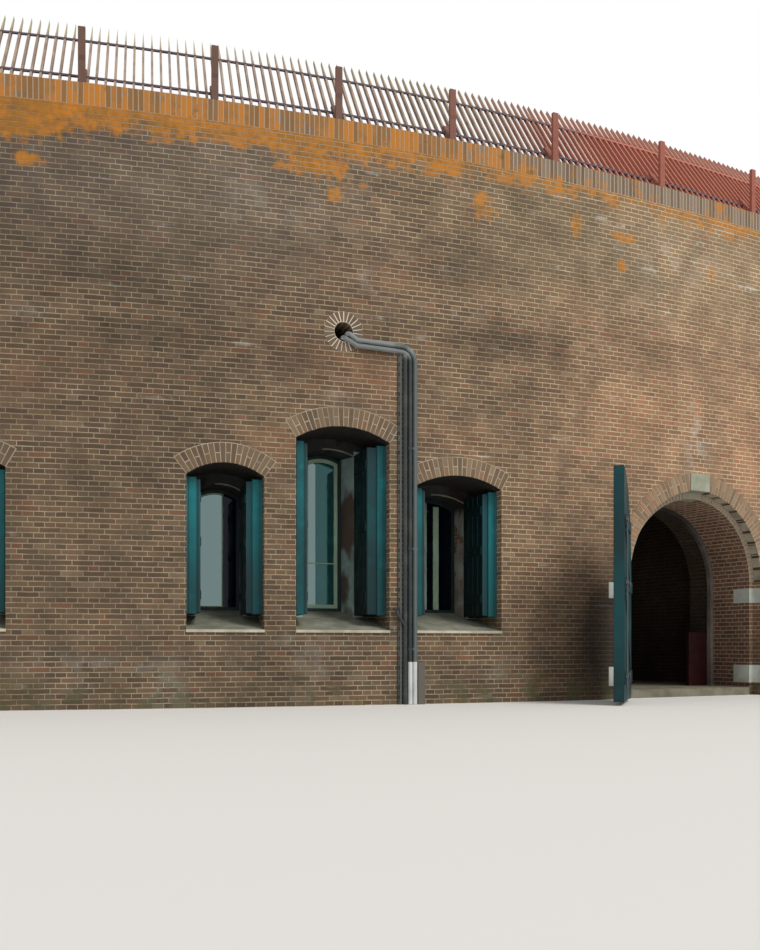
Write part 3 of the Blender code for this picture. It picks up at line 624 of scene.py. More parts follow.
def arch_brick_material(name, grey=0.0):
    """Single bricks, each with its own tone, greyer by a share."""
    look = bpy.context.scene.range_look
    finish, tree, shader, _, weather = weathered(name)
    tone = tree.nodes.new("ShaderNodeAttribute")
    tone.attribute_name = "tone"
    tone = Value(tree, tone.outputs["Fac"])
    here = use_group(tree, place_group())
    colour = brick_colours(tree, look, tone, (tone * 7.31).part(), weather)
    colour = mix(tree, weather["Bits"].ramp(0.35, 0.7) * 0.3, colour, (0.24, 0.175, 0.10))
    colour = mix(tree, grey, colour, (0.27, 0.25, 0.20))
    # Painted light across the range, and painted shade on the faces of each brick that do not face
    # outwards.
    colour = darken(tree, colour, painted_light(here["S"], here["Z"]) * (here["Facing"] * 0.82 + 0.3))
    height = weather["Grain"] * 0.6 + weather["Bits"] * 0.4
    surface(tree, shader, colour, 0.88, height, 0.003, 0.6)
    return finish


def mortar_material(name, colour=(0.46, 0.40, 0.30)):
    finish, tree, shader, _, weather = weathered(name)
    dull = tuple(0.6 * part for part in colour)
    mixed = mix(tree, weather["Bits"].ramp(0.35, 0.7), colour, dull)
    surface(tree, shader, mixed, 0.95, weather["Grain"], 0.003, 0.8)
    return finish


def coping_material():
    """A row of bricks on end, overgrown with orange lichen."""
    look = bpy.context.scene.range_look
    finish, tree, shader, _, weather = weathered("coping bricks")
    here = use_group(tree, place_group())
    s, d, z = here["S"], here["D"], here["Z"]
    patch, bits = weather["Patch"], weather["Bits"]
    cell = (s + (bits - 0.5) * 0.01) / COPING_BRICK
    along = cell.part()
    row = (d / COPING_ROW).whole() * (1.0 - here["Facing"])
    rows = (d / COPING_ROW).part()
    edge = along.low_of(1.0 - along) * COPING_BRICK
    across = rows.low_of(1.0 - rows) * COPING_ROW + here["Facing"]
    edge = edge.low_of(across).low_of(abs(z - WALL_TOP))
    mortar = edge.ramp(0.0075, 0.0040)
    dice = tree.nodes.new("ShaderNodeTexWhiteNoise")
    dice.noise_dimensions = "2D"
    tree.links.new(vector_of(tree, cell.whole(), row), dice.inputs["Vector"])
    tone = Value(tree, dice.outputs["Value"])
    colour = brick_colours(tree, look, tone, (tone * 9.7).part(), weather)
    colour = mix(tree, 0.55, colour, mix(tree, tone, (0.20, 0.14, 0.10), (0.34, 0.27, 0.21)))
    more = s.ramp(2.6, 0.4) * 0.10 - 0.025
    lichen = (patch * 0.55 + bits * 0.45 + more).ramp(0.47, 0.55) * (0.55 + tone * 0.45)
    colour = mix(tree, lichen * 0.9, colour, lichen_colour(tree, look, bits * 0.6 + tone * 0.4))
    colour = mix(tree, mortar * (1.0 - lichen * 0.55), colour, (0.50, 0.42, 0.31))
    colour = mix(tree, bits.ramp(0.66, 0.74) * 0.5, colour, (0.07, 0.07, 0.03))
    height = (1.0 - mortar) * 0.8 + weather["Grain"] * 0.3 + lichen * 0.4
    surface(tree, shader, colour, 0.92, height, 0.004, 0.8)
    return finish


def stone_material(name, colour, dark, iron=False, bare=(0.16, 0.15, 0.08), share=0.3, fade=None):
    """Worn stone or cement, darker above fade. With iron, its pin before the wall is rusty."""
    look = bpy.context.scene.range_look
    finish, tree, shader, _, weather = weathered(name)
    mixed = mix(tree, weather["Bits"].ramp(0.3, 0.7), colour, dark)
    mixed = mix(tree, weather["Streak"].ramp(0.5, 0.8) * 0.5, mixed, dark)
    mixed = mix(tree, weather["Patch"].ramp(0.54, 0.62) * share, mixed, bare)
    height = weather["Grain"] * 0.5 + weather["Bits"] * 0.5
    if fade:
        darker_above = use_group(tree, place_group())["Z"].ramp(fade, fade + 0.9)
        mixed = darken(tree, mixed, 1.0 - darker_above * 0.85)
    if iron:
        pin = (use_group(tree, place_group())["D"] + 0.004).ramp(0.0, -0.001)
        mixed = mix(tree, pin, mixed, tuple(0.35 * part for part in look.rust))
        feed(tree, shader.inputs["Metallic"], pin * 0.4)
    surface(tree, shader, mixed, 0.85, height, 0.003, 0.5)
    return finish


def paint_material(name, colour, roughness=0.38, recess=False):
    """Old gloss paint, with wear in small spots. Deep in an opening it takes painted shade, darker
    downwards and on its sides.
    """
    finish, tree, shader, where, weather = weathered(name)
    grain = use_group(tree, wood_group(), Place=where)["Grain"]
    dark = tuple(0.5 * part for part in colour)
    pale = tuple(min(1.0, 1.3 * part + 0.005) for part in colour)
    mixed = mix(tree, weather["Patch"].ramp(0.35, 0.65), dark, colour)
    mixed = mix(tree, weather["Bits"].ramp(0.5, 0.68) * 0.4, mixed, pale)
    mixed = mix(tree, (grain * 0.6 + weather["Bits"] * 0.4).ramp(0.62, 0.68) * 0.5, mixed, pale)
    if recess:
        # Painted shade: darker towards the bottom, and darker on faces that do not face outwards.
        here = use_group(tree, place_group())
        fall = here["Z"].ramp(0.9, 2.8) * 0.6 + 0.66
        mixed = darken(tree, mixed, fall * (here["Facing"] * 0.82 + 0.2))
    rough = weather["Bits"].ramp(0.3, 0.7) * 0.25 + roughness
    shader.inputs["Specular IOR Level"].default_value = 0.3
    surface(tree, shader, mixed, rough, grain * 0.7 + weather["Grain"] * 0.3, 0.0015, 0.5)
    return finish


def wood_group():
    """Upright wood grain that shows through paint."""
    inputs = (("Place", "NodeSocketVector", None),)

    def build(tree, given):
        node = tree.nodes.new("ShaderNodeMapping")
        tree.links.new(given["Place"].socket, node.inputs["Vector"])
        node.inputs["Scale"].default_value = (1.0, 1.0, 0.05)
        return (noise(tree, node.outputs[0], 60.0, 3.0, 21.0),)
    return make_group("wood grain", inputs, ("Grain",), build)


GLASS = {
    "window glass": ((0.012, 0.022, 0.024), 2.7, (0.72, 1.0, 1.0, 1.0)),
    "teal glass": ((0.004, 0.050, 0.052), 1.75, (0.5, 1.0, 1.0, 1.0)),
    "black glass": ((0.002, 0.003, 0.008), 1.3, (0.8, 0.9, 1.0, 1.0)),
}


def glass_material(name, colour, bend, tint):
    """Panes that mirror the sky, or show the dark room."""
    finish, tree, shader, _, weather = weathered(name)
    dusty = tuple(2.0 * part for part in colour)
    colour = mix(tree, weather["Bits"].ramp(0.4, 0.7) * 0.6, colour, dusty)
    rough = weather["Bits"].ramp(0.35, 0.75) * 0.06 + 0.03
    surface(tree, shader, colour, rough)
    shader.inputs["IOR"].default_value = bend
    shader.inputs["Specular Tint"].default_value = tint
    return finish


def iron_material(name, plain=False):
    """Rusty iron. The fence is painted greyer and paler at its left end, as glare of back light,
    and has dark rails.
    """
    look = bpy.context.scene.range_look
    finish, tree, shader, _, weather = weathered(name)
    rust = tuple(look.rust)
    colour = mix(tree, weather["Bits"].ramp(0.35, 0.65), rust, tuple(0.62 * part for part in rust))
    if plain:
        colour = mix(tree, 0.92, colour, (0.10, 0.11, 0.11))
    else:
        here = use_group(tree, place_group())
        s, d, z = here["S"], here["D"], here["Z"]
        grey = mix(tree, weather["Bits"].ramp(0.4, 0.6), (0.42, 0.34, 0.25), (0.30, 0.23, 0.18))
        colour = mix(tree, s.ramp(1.5, 4.0) * 0.8, colour, (0.52, 0.165, 0.105))
        # Painted light: glare of back light, laid as paler grey over the left end of the fence.
        old = (s + (weather["Patch"] - 0.5) * 2.0).ramp(4.0, 1.4)
        colour = mix(tree, old * 0.85, colour, grey)
        along = (d - FENCE_SETBACK) * math.sin(FENCE_LEAN) + (z - COPING_TOP) * math.cos(FENCE_LEAN)
        tips = mix(tree, s.ramp(0.5, 4.0), (0.56, 0.49, 0.31), (0.74, 0.42, 0.33))
        colour = mix(tree, along.ramp(0.98, 1.15) * 0.6, colour, tips)
        rails = abs(along - HIGH_RAIL).ramp(0.024, 0.020) * s.ramp(4.5, 2.5)
        rails = rails.high_of(abs(along - LOW_RAIL).ramp(0.024, 0.020))
        colour = mix(tree, rails, colour, (0.085, 0.055, 0.068))
        door_bay = (s - 2.77).over(0.0)
        bay_post = abs(((s + 2.82) / POST_PITCH + 0.5).part() - 0.5) * POST_PITCH
        wide_post = abs(((s - 2.72) / DOOR_POST_PITCH + 0.5).part() - 0.5) * DOOR_POST_PITCH
        post = (bay_post + door_bay * (wide_post - bay_post)).ramp(0.042, 0.038)
        low_down = (0.05 - d).over(0.0).high_of((COPING_TOP + 0.27 - z).over(0.0))
        post_colour = mix(tree, s.ramp(-1.0, 4.5), (0.125, 0.060, 0.045), (0.34, 0.105, 0.070))
        colour = mix(tree, post * low_down * 0.9, colour, post_colour)
    feed(tree, shader.inputs["Metallic"], 0.15)
    surface(tree, shader, colour, 0.78, weather["Grain"], 0.002, 0.6)
    return finish


def pipe_material(name, colour, roughness):
    """Smooth dusty tube, with a painted highlight on top where it runs level."""
    finish, tree, shader, _, weather = weathered(name)
    dusty = tuple(0.6 * part + 0.05 for part in colour)
    mixed = mix(tree, weather["Bits"].ramp(0.4, 0.7) * 0.7, colour, dusty)
    here = use_group(tree, place_group())
    # Painted highlight: paler on top of the level run, half as much on faces that face outwards.
    level = here["Z"].ramp(3.92, 4.02) * (1.0 - here["Facing"] * 0.5)
    mixed = mix(tree, level * weather["Bits"].ramp(0.3, 0.5) * 0.8, mixed, (0.42, 0.46, 0.46))
    surface(tree, shader, mixed, weather["Bits"] * 0.2 + roughness, weather["Grain"], 0.001, 0.3)
    return finish


def named(name, build, *given, **more):
    """The material of that name, made on its first use."""
    return bpy.data.materials.get(name) or build(name, *given, **more)


def dress(names, finish):
    for name in names:
        NODES[name].data.materials.clear()
        NODES[name].data.materials.append(finish)


def nodes_like(*starts):
    return [name for name in NODES if name.startswith(starts)]


# Mesh helpers


def add_piece(name, bm, finish, body="range"):
    bmesh.ops.recalc_face_normals(bm, faces=bm.faces[:])
    mesh = bpy.data.meshes.new(name)
    bm.to_mesh(mesh)
    bm.free()
    piece = bpy.data.objects.new(name, mesh)
    bpy.context.scene.collection.objects.link(piece)
    mesh.materials.append(finish)
    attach(piece, body)
    return piece


def soften(bm, edges, width, segments=1):
    bmesh.ops.bevel(bm, geom=edges, offset=width, offset_type="OFFSET", segments=segments,
                    profile=0.5, affect="EDGES", clamp_overlap=True, material=-1)


def bar(bm, matrix, x_range, y_range, z_range, tone=None):
    """A box between three pairs of limits, in the frame that matrix gives."""
    limits = [sorted(pair) for pair in (x_range, y_range, z_range)]
    middle = Vector([0.5 * (low + high) for low, high in limits])
    size = Matrix.Diagonal([high - low for low, high in limits] + [1.0])
    made = bmesh.ops.create_cube(bm, size=1.0, matrix=matrix @ Matrix.Translation(middle) @ size)
    if tone is not None:
        layer = bm.faces.layers.float.get("tone") or bm.faces.layers.float.new("tone")
        for face in {face for vert in made["verts"] for face in vert.link_faces}:
            face[layer] = tone
    return made["verts"]


def tone_of(*numbers):
    """A repeatable number from 0 to 1."""
    value = math.sin(sum(n * k for n, k in zip(numbers, (12.9898, 78.233, 37.719)))) * 43758.5453
    return value - math.floor(value)


def thicken(bm, faces, shift):
    """Grow faces into a solid by a shift. Gives back all its vertices."""
    verts = list({vert for face in faces for vert in face.verts})
    grown = bmesh.ops.extrude_face_region(bm, geom=faces)["geom"]
    tops = [item for item in grown if isinstance(item, bmesh.types.BMVert)]
    bmesh.ops.translate(bm, vec=shift, verts=tops)
    return verts + tops


def prism(bm, points, shift, matrix):
    """A closed solid: the flat face on some points, grown by a shift."""
    face = bm.faces.new([bm.verts.new(point) for point in points])
    bmesh.ops.transform(bm, matrix=matrix, verts=thicken(bm, [face], shift))


def slab(bm, outline, front, depth, matrix):
    """A closed solid on an outline of (x, z) points."""
    prism(bm, [(x, front, z) for x, z in outline], (0.0, depth, 0.0), matrix)


def rod(bm, matrix, radius, length, segments=12):
    bmesh.ops.create_cone(bm, cap_ends=True, segments=segments, radius1=radius, radius2=radius,
                          depth=length, matrix=matrix)


def framed(bm, outline, front, width, depth, matrix):
    """A frame along an outline. Gives back the outline of the opening in it."""
    face = bm.faces.new([bm.verts.new((x, front, z)) for x, z in outline])
    face.normal_update()
    ring = bmesh.ops.inset_region(bm, faces=[face], thickness=width, use_boundary=True,
                                  use_even_offset=True)["faces"]
    inner = [(vert.co.x, vert.co.z) for vert in face.verts]
    bmesh.ops.delete(bm, geom=[face], context="FACES_ONLY")
    bmesh.ops.transform(bm, matrix=matrix, verts=thicken(bm, ring, (0.0, depth, 0.0)))
    return inner


def arch_outline(half, spring, rise, low, steps=12):
    radius = (half * half + rise * rise) / (2.0 * rise)
    sweep = math.asin(min(1.0, half / radius))
    centre = spring + rise - radius
    turns = [sweep * (2.0 * i / steps - 1.0) for i in range(steps + 1)]
    curve = [(radius * math.sin(t), centre + radius * math.cos(t)) for t in turns]
    return [(-half, low)] + curve + [(half, low)]


def brick_ring(bricks, matrix, centre, radii, turns, depths, split, skip=0.0, spacing=ARCH_PITCH):
    """Tapered bricks on end round an arch or a hole; every other one is two short ones."""
    (r0, r1), (start, sweep), (d0, d1) = radii, turns, depths
    count = round(sweep * 0.5 * (r0 + r1) / spacing)
    pitch = sweep / count
    middle = 0.5 * (r0 + r1)
    for i in range(count):
        turn = start + (i + 0.5) * pitch
        if abs(middle * math.sin(turn)) < skip:
            continue
        lengths = [(r0, r1)]
        if split and i % 2:
            lengths = [(r0, middle - 0.005), (middle + 0.005, r1)]
        for low, high in lengths:
            x = 0.5 * (low + high) * math.sin(turn)
            y = face_y(x, d0)
            local = matrix @ Matrix.Translation((0.0, y, centre)) @ Matrix.Rotation(turn, 4, "Y")
            proud = 0.0015 * tone_of(i, low, middle)
            verts = bar(bricks, local, (-0.5, 0.5), (-0.0025 - proud, d1 - d0),
                        (low, high), tone_of(i, high, centre))
            back = local.inverted()
            for vert in verts:
                spot = back @ vert.co
                spot.x *= pitch * spot.z - ARCH_JOINT
                vert.co = local @ spot


def mortar_band(bm, matrix, centre, radii, turns):
    """The flat bed of mortar in which an arch's bricks lie."""
    (r0, r1), (start, sweep) = radii, turns
    ends = [bm.verts.new((r * math.sin(start), 0.0, centre + r * math.cos(start)))
            for r in (r0, r1)]
    edge = bm.edges.new(ends)
    before = len(bm.verts) - 2
    bmesh.ops.spin(bm, geom=ends + [edge], cent=(0.0, 0.0, centre), axis=(0.0, 1.0, 0.0),
                   dvec=(0.0, 0.0, 0.0), angle=sweep, steps=24, use_merge=sweep > 6.28)
    bm.verts.ensure_lookup_table()
    verts = bm.verts[before:]
    faces = list({face for vert in verts for face in vert.link_faces})
    thicken(bm, faces, (0.0, 0.02, 0.0))
    bm.verts.ensure_lookup_table()
    for vert in bm.verts[before:]:
        vert.co.y += face_y(vert.co.x) - 0.0008
    bmesh.ops.transform(bm, matrix=matrix, verts=bm.verts[before:])


# Operators, one for each group of pieces


class RANGE_OT_brickwork(bpy.types.Operator):
    """Give the walls and the coping their bond, weather and lichen"""

    bl_idname = "range.brickwork"
    bl_label = "Brickwork"

    def execute(self, context):
        dress(nodes_like("front_wall"), brick_material("window bay brickwork", True, True))
        dress(nodes_like("door_wall", "door_pier"), brick_material("door bay brickwork"))
        dress(nodes_like("rear_wall", "end_wall"), brick_material("rear brickwork", False))
        dress(["coping"], coping_material())
        dress(nodes_like("door_arch"), mortar_material("arch mortar"))
        return {"FINISHED"}


class RANGE_OT_arches(bpy.types.Operator):
    """Lay the single bricks of the arches and of the ring round the vent hole"""

    bl_idname = "range.arches"
    bl_label = "Arch bricks"

    def execute(self, context):
        bricks = bmesh.new()
        bed = bmesh.new()
        for _, middle, half, spring, rise in windows():
            radius = (half * half + rise * rise) / (2.0 * rise)
            sweep = math.asin(half / radius)
            centre = spring + rise - radius
            radii = (radius, radius + WINDOW_RING)
            turns = (-sweep, 2.0 * sweep)
            brick_ring(bricks, opening(middle), centre, radii, turns, (0.0, BRICK_BED), True)
            mortar_band(bed, opening(middle), centre, (radius + 0.001, radius + 0.220),
                        (-sweep - 0.004, 2.0 * sweep + 0.008))
        whole = (0.0, 2.0 * math.pi)
        brick_ring(bricks, opening(0.0), VENT_Z, VENT_RING, whole, (0.0, BRICK_BED), False,
                   spacing=VENT_PITCH)
        white = bmesh.new()
        mortar_band(white, opening(0.0), VENT_Z, (0.110, 0.227), whole)
        half_turn = (-0.5 * math.pi, math.pi)
        radii = (DOOR_RADIUS - 0.002, DOOR_RADIUS + RING_WIDTH + 0.001)
        brick_ring(bricks, opening(DOOR_AT), DOOR_SPRING, radii, half_turn, (0.0, 0.132), True,
                   KEY_HALF + 0.02)
        inner = (INNER_RADIUS - 0.001, DOOR_RADIUS - 0.004)
        rebate = bmesh.new()
        brick_ring(rebate, opening(DOOR_AT), DOOR_SPRING, inner, half_turn,
                   (REBATE, REBATE + BRICK_BED), False)
        soften(bricks, bricks.edges[:], 0.003)
        soften(rebate, rebate.edges[:], 0.003)
        add_piece("arch_bricks", bricks, named("arch brick", arch_brick_material))
        add_piece("rebate_bricks", rebate, named("rebate brick", arch_brick_material, 0.6))
        add_piece("arch_mortar", bed, named("arch mortar", mortar_material))
        add_piece("vent_mortar", white, named("lime mortar", mortar_material, (0.80, 0.76, 0.66)))
        return {"FINISHED"}


class RANGE_OT_sills(bpy.types.Operator):
    """Lay the sloping cement sills"""

    bl_idname = "range.sills"
    bl_label = "Sills"

    def execute(self, context):
        slope = SILL_RISE / FRAME_DEPTH
        plain = bmesh.new()
        edge = bmesh.new()
        for _, middle, half, spring, rise in windows():
            for y0, y1, reach in ((0.0, 0.699, half - 0.002),
                                  (0.699, 1.028, half - INNER_NARROWING - 0.002)):
                profile = [(-reach, y, SILL_Z + slope * y + lift)
                           for y, lift in ((y0, -0.01), (y1, -0.01), (y1, 0.005), (y0, 0.005))]
                prism(plain, profile, (2.0 * reach, 0.0, 0.0), opening(middle))
            bar(edge, opening(middle), (-half - 0.005, half + 0.005), (-0.012, 0.02),
                (SILL_Z - 0.022, SILL_Z + 0.009))
            self.inner_edge(plain, opening(middle), half, spring, rise)
        soften(edge, edge.edges[:], 0.004, 2)
        cement = named("sill cement", stone_material, (0.275, 0.285, 0.225), (0.155, 0.16, 0.115))
        light = named("sill edge", stone_material, (0.62, 0.58, 0.46), (0.40, 0.37, 0.28))
        add_piece("sills", plain, cement)
        add_piece("sill_edges", edge, light)
        return {"FINISHED"}

    def inner_edge(self, bm, place, half, spring, rise):
        """What is left of the lip of plaster round the inner arch, where the opening narrows."""
        inner = half - INNER_NARROWING
        bend = rise * inner / half
        low = arch_outline(inner, spring + rise - INNER_DROP - bend, bend, SILL_Z)[1:-1]
        for (x0, z0), (x1, z1) in zip(low[5:], low[6:]):
            middle = Matrix.Translation((0.5 * (x0 + x1), SHUTTER_DEPTH, 0.5 * (z0 + z1)))
            turn = Matrix.Rotation(-math.atan2(z1 - z0, x1 - x0), 4, "Y")
            reach = 0.5 * math.hypot(x1 - x0, z1 - z0) + 0.001
            bar(bm, place @ middle @ turn, (-reach, reach), (-0.006, 0.02), (0.0, 0.016))


class RANGE_OT_windows(bpy.types.Operator):
    """Build the casements with their bars and panes"""

    bl_idname = "range.windows"
    bl_label = "Windows"

    def execute(self, context):
        linings = bmesh.new()
        for name, middle, half, spring, rise in windows():
            inner = half - INNER_NARROWING
            crown = spring + rise - INNER_DROP
            clear = inner
            if name.endswith("centre"):
                clear = inner - LINING_BACK
                self.lining(linings, opening(middle), inner, crown)
            bend = rise * clear / half
            outline = arch_outline(clear - 0.001, crown - bend - 0.001, bend,
                                   SILL_Z + SILL_RISE + 0.001)
            self.window(f"window_{name}", middle, outline, FRAME_DEPTH)
        plaster = named("lining plaster", stone_material, (0.44, 0.60, 0.575), (0.27, 0.37, 0.35),
                        bare=(0.110, 0.050, 0.030), share=0.9)
        add_piece("window_linings", linings, plaster)
        for name, middle in (("left", -BAY), ("middle", 0.0),
                             ("right", 0.5 * (BAY * 0.5 + RANGE_END))):
            outline = arch_outline(0.544, 2.524, 0.14, SILL_Z + 0.001)
            self.window(f"rear_window_{name}", middle, outline, REAR_FACE + 0.30)
        return {"FINISHED"}

    def window(self, node, middle, outline, front):
        place = opening(middle)
        frame_mesh, light = bmesh.new(), bmesh.new()
        clear = framed(frame_mesh, outline, front + 0.002, FRAME_WIDTH, 0.076, place)
        soften(frame_mesh, frame_mesh.edges[:], 0.004)
        low, crown = min(z for _, z in clear), max(z for _, z in clear)
        kinds, split, back = ("window glass", "window glass"), 0.0, front + CASEMENT_BACK
        if node.startswith("rear") or node.endswith("centre"):
            inner = framed(light, clear, back, 0.045, 0.045, place)
            wide = max(x for x, _ in inner)
            bar(light, place, (-wide, wide), (front + 0.026, front + 0.05),
                (low + 0.545, low + 0.559))
            if node.endswith("centre"):
                kinds, split = ("window glass", "teal glass"), -0.065
            panes = [self.half(inner, side, split) for side in (-1.0, 1.0)]
        elif node.endswith("_left"):
            kinds, split = ("window glass", "black glass"), 0.08
            panes = [framed(light, self.half(clear, -1.0, split), back, 0.014, 0.045, place),
                     self.half(clear, 1.0, split)]
        else:
            kinds = ("black glass", "black glass")
            panes = [self.half(clear, side) for side in (-1.0, 1.0)]
            for x0, x1, drop in ((-0.035, 0.020, 0.004), (0.110, 0.185, 0.045)):
                bar(light, place, (x0, x1), (back, front + 0.062), (low, crown - drop))
        for label, pane, finish in zip(("left", "right"), panes, kinds):
            sheet = bmesh.new()
            slab(sheet, pane, front + PANE_BACK, PANE_THICKNESS, place)
            add_piece(f"{node}_glass_{label}", sheet, named(finish, glass_material, *GLASS[finish]))
        dark = named("window frame dark", paint_material, (0.010, 0.028, 0.030))
        pale = named("casement paint", paint_material, (0.42, 0.58, 0.42), 0.5)
        frame_piece = add_piece(f"{node}_frame", frame_mesh, dark)
        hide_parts(node)
        add_piece(f"{node}_casements", light, pale)

    def lining(self, bm, place, inner, crown):
        """Splayed plaster on both sides of the inner opening, up into the wall over its arch."""
        low = SILL_Z + SILL_RISE * SHUTTER_DEPTH / FRAME_DEPTH - 0.02
        for side in (-1.0, 1.0):
            back, end = inner - LINING_BACK, FRAME_DEPTH + 0.078
            plan = [(inner, SHUTTER_DEPTH - 0.003), (inner - LINING_FRONT, SHUTTER_DEPTH - 0.003),
                    (back, FRAME_DEPTH + 0.002), (back, end), (inner, end)]
            prism(bm, [(side * x, y, low) for x, y in plan], (0.0, 0.0, crown - 0.005 - low), place)

    def half(self, outline, side, split=0.0):
        """The left or right part of an outline, with a small gap at the split."""
        low = min(z for _, z in outline)
        points = [(x, z) for x, z in outline if side * (x - split) > 0.01]
        near = min(points[1:-1], key=lambda point: abs(point[0] - split))
        low_end, high_end = (split + side * 0.002, low), (split + side * 0.002, near[1])
        return points + [high_end, low_end] if side < 0 else [low_end, high_end] + points


class RANGE_OT_shutters(bpy.types.Operator):
    """Put boards, ledges and folded edges on the open shutters"""

    bl_idname = "range.shutters"
    bl_label = "Shutters"

    def execute(self, context):
        look = context.scene.range_look
        # The shutter paint carries painted shade, darker downwards and on its inner faces.
        paint = named("shutter paint", paint_material, tuple(look.teal), recess=True)
        dress(nodes_like("shutter"), paint)
        meshes = boards, folded, lines = bmesh.new(), bmesh.new(), bmesh.new()
        for name, middle, half, spring, _ in windows():
            fold = FOLDED_PAIR if name.endswith("centre") else FOLDED_LEAF
            for side in (-1.0, 1.0):
                self.shutter(meshes, opening(middle), side, side * half, spring - 0.012,
                             fold if side > 0.0 else 0.04)
        soften(boards, boards.edges[:], 0.003)
        soften(folded, folded.edges[:], 0.003)
        # Painted shade: the folded leaves with their boards and ledges get a darker copy of the
        # shutter paint.
        shaded = named("folded paint", paint_material, tuple(0.36 * part for part in look.teal),
                       recess=True)
        add_piece("shutter_folds", folded, shaded)
        # Painted highlight: thin strips of paler paint stand for light caught along the shutters'
        # edges.
        edge_highlight = named("worn edge", paint_material, (0.075, 0.135, 0.160), 0.5)
        add_piece("shutter_lines", lines, edge_highlight)
        add_piece("shutter_boards", boards, paint)
        return {"FINISHED"}

    def shutter(self, meshes, place, side, jamb, top, fold):
        boards, bm, lines = meshes
        inner = jamb - side * (SHUTTER_THICKNESS + 0.0003)
        leaf = inner - side * fold
        low = SHUTTER_BOTTOM + 0.002
        back = SHUTTER_DEPTH - 0.012
        bar(bm, place, (inner + side * 0.002, leaf), (SHUTTER_FRONT + 0.012, back),
            (low + 0.01, top - 0.02))
        pitch = (back - SHUTTER_FRONT - 0.02) / SHUTTER_BOARDS
        for i in range(SHUTTER_BOARDS):
            y0 = SHUTTER_FRONT + 0.016 + pitch * i
            bar(bm, place, (leaf + side * 0.002, leaf - side * 0.006),
                (y0 + 0.002, y0 + pitch - 0.002), (low + 0.012, top - 0.022))
        for z in (low + 0.16, 0.5 * (low + top), top - 0.26):
            bar(bm, place, (leaf, leaf - side * 0.016), (SHUTTER_FRONT + 0.04, back - 0.04),
                (z, z + 0.10))
        outer = jamb - side * 0.002
        for x0, x1 in ((0.0, 0.022), (0.030, 0.108)):
            bar(boards, place, (outer - side * x0, outer - side * x1),
                (SHUTTER_FRONT - 0.006, SHUTTER_FRONT + 0.002), (low, top))
        edge = SHUTTER_THICKNESS + fold
        for x0, x1 in ((0.023, 0.027), (edge - 0.006, edge)):
            bar(lines, place, (outer - side * x0, outer - side * x1),
                (SHUTTER_FRONT - 0.004 + x1 * 0.1, SHUTTER_FRONT + 0.03), (low + 0.02, top - 0.03))


STONES = (
    (("door_keystone",), "keystone", (0.40, 0.42, 0.33), (0.27, 0.28, 0.20), {}),
    (("hinge_stone",), "hinge stone", (0.62, 0.66, 0.60), (0.46, 0.48, 0.42), {"iron": True}),
    (("door_threshold", "floor_slab"), "paving stone", (0.235, 0.22, 0.16), (0.13, 0.12, 0.08), {}),
    (("roof_slab",), "roof cement", (0.26, 0.25, 0.22), (0.15, 0.15, 0.12), {}),
    (("door_frame",), "frame render", (0.24, 0.205, 0.18), (0.13, 0.11, 0.10), {"fade": 1.7}),
)


class RANGE_OT_stonework(bpy.types.Operator):
    """Finish the keystone, hinge stones, threshold, floor, roof and inner door frame"""

    bl_idname = "range.stonework"
    bl_label = "Stonework"

    def execute(self, context):
        for starts, name, colour, dark, more in STONES:
            dress(nodes_like(*starts), named(name, stone_material, colour, dark, **more))
        dress(["inner_board"], named("red paint", paint_material, (0.036, 0.002, 0.002), 0.8))
        return {"FINISHED"}


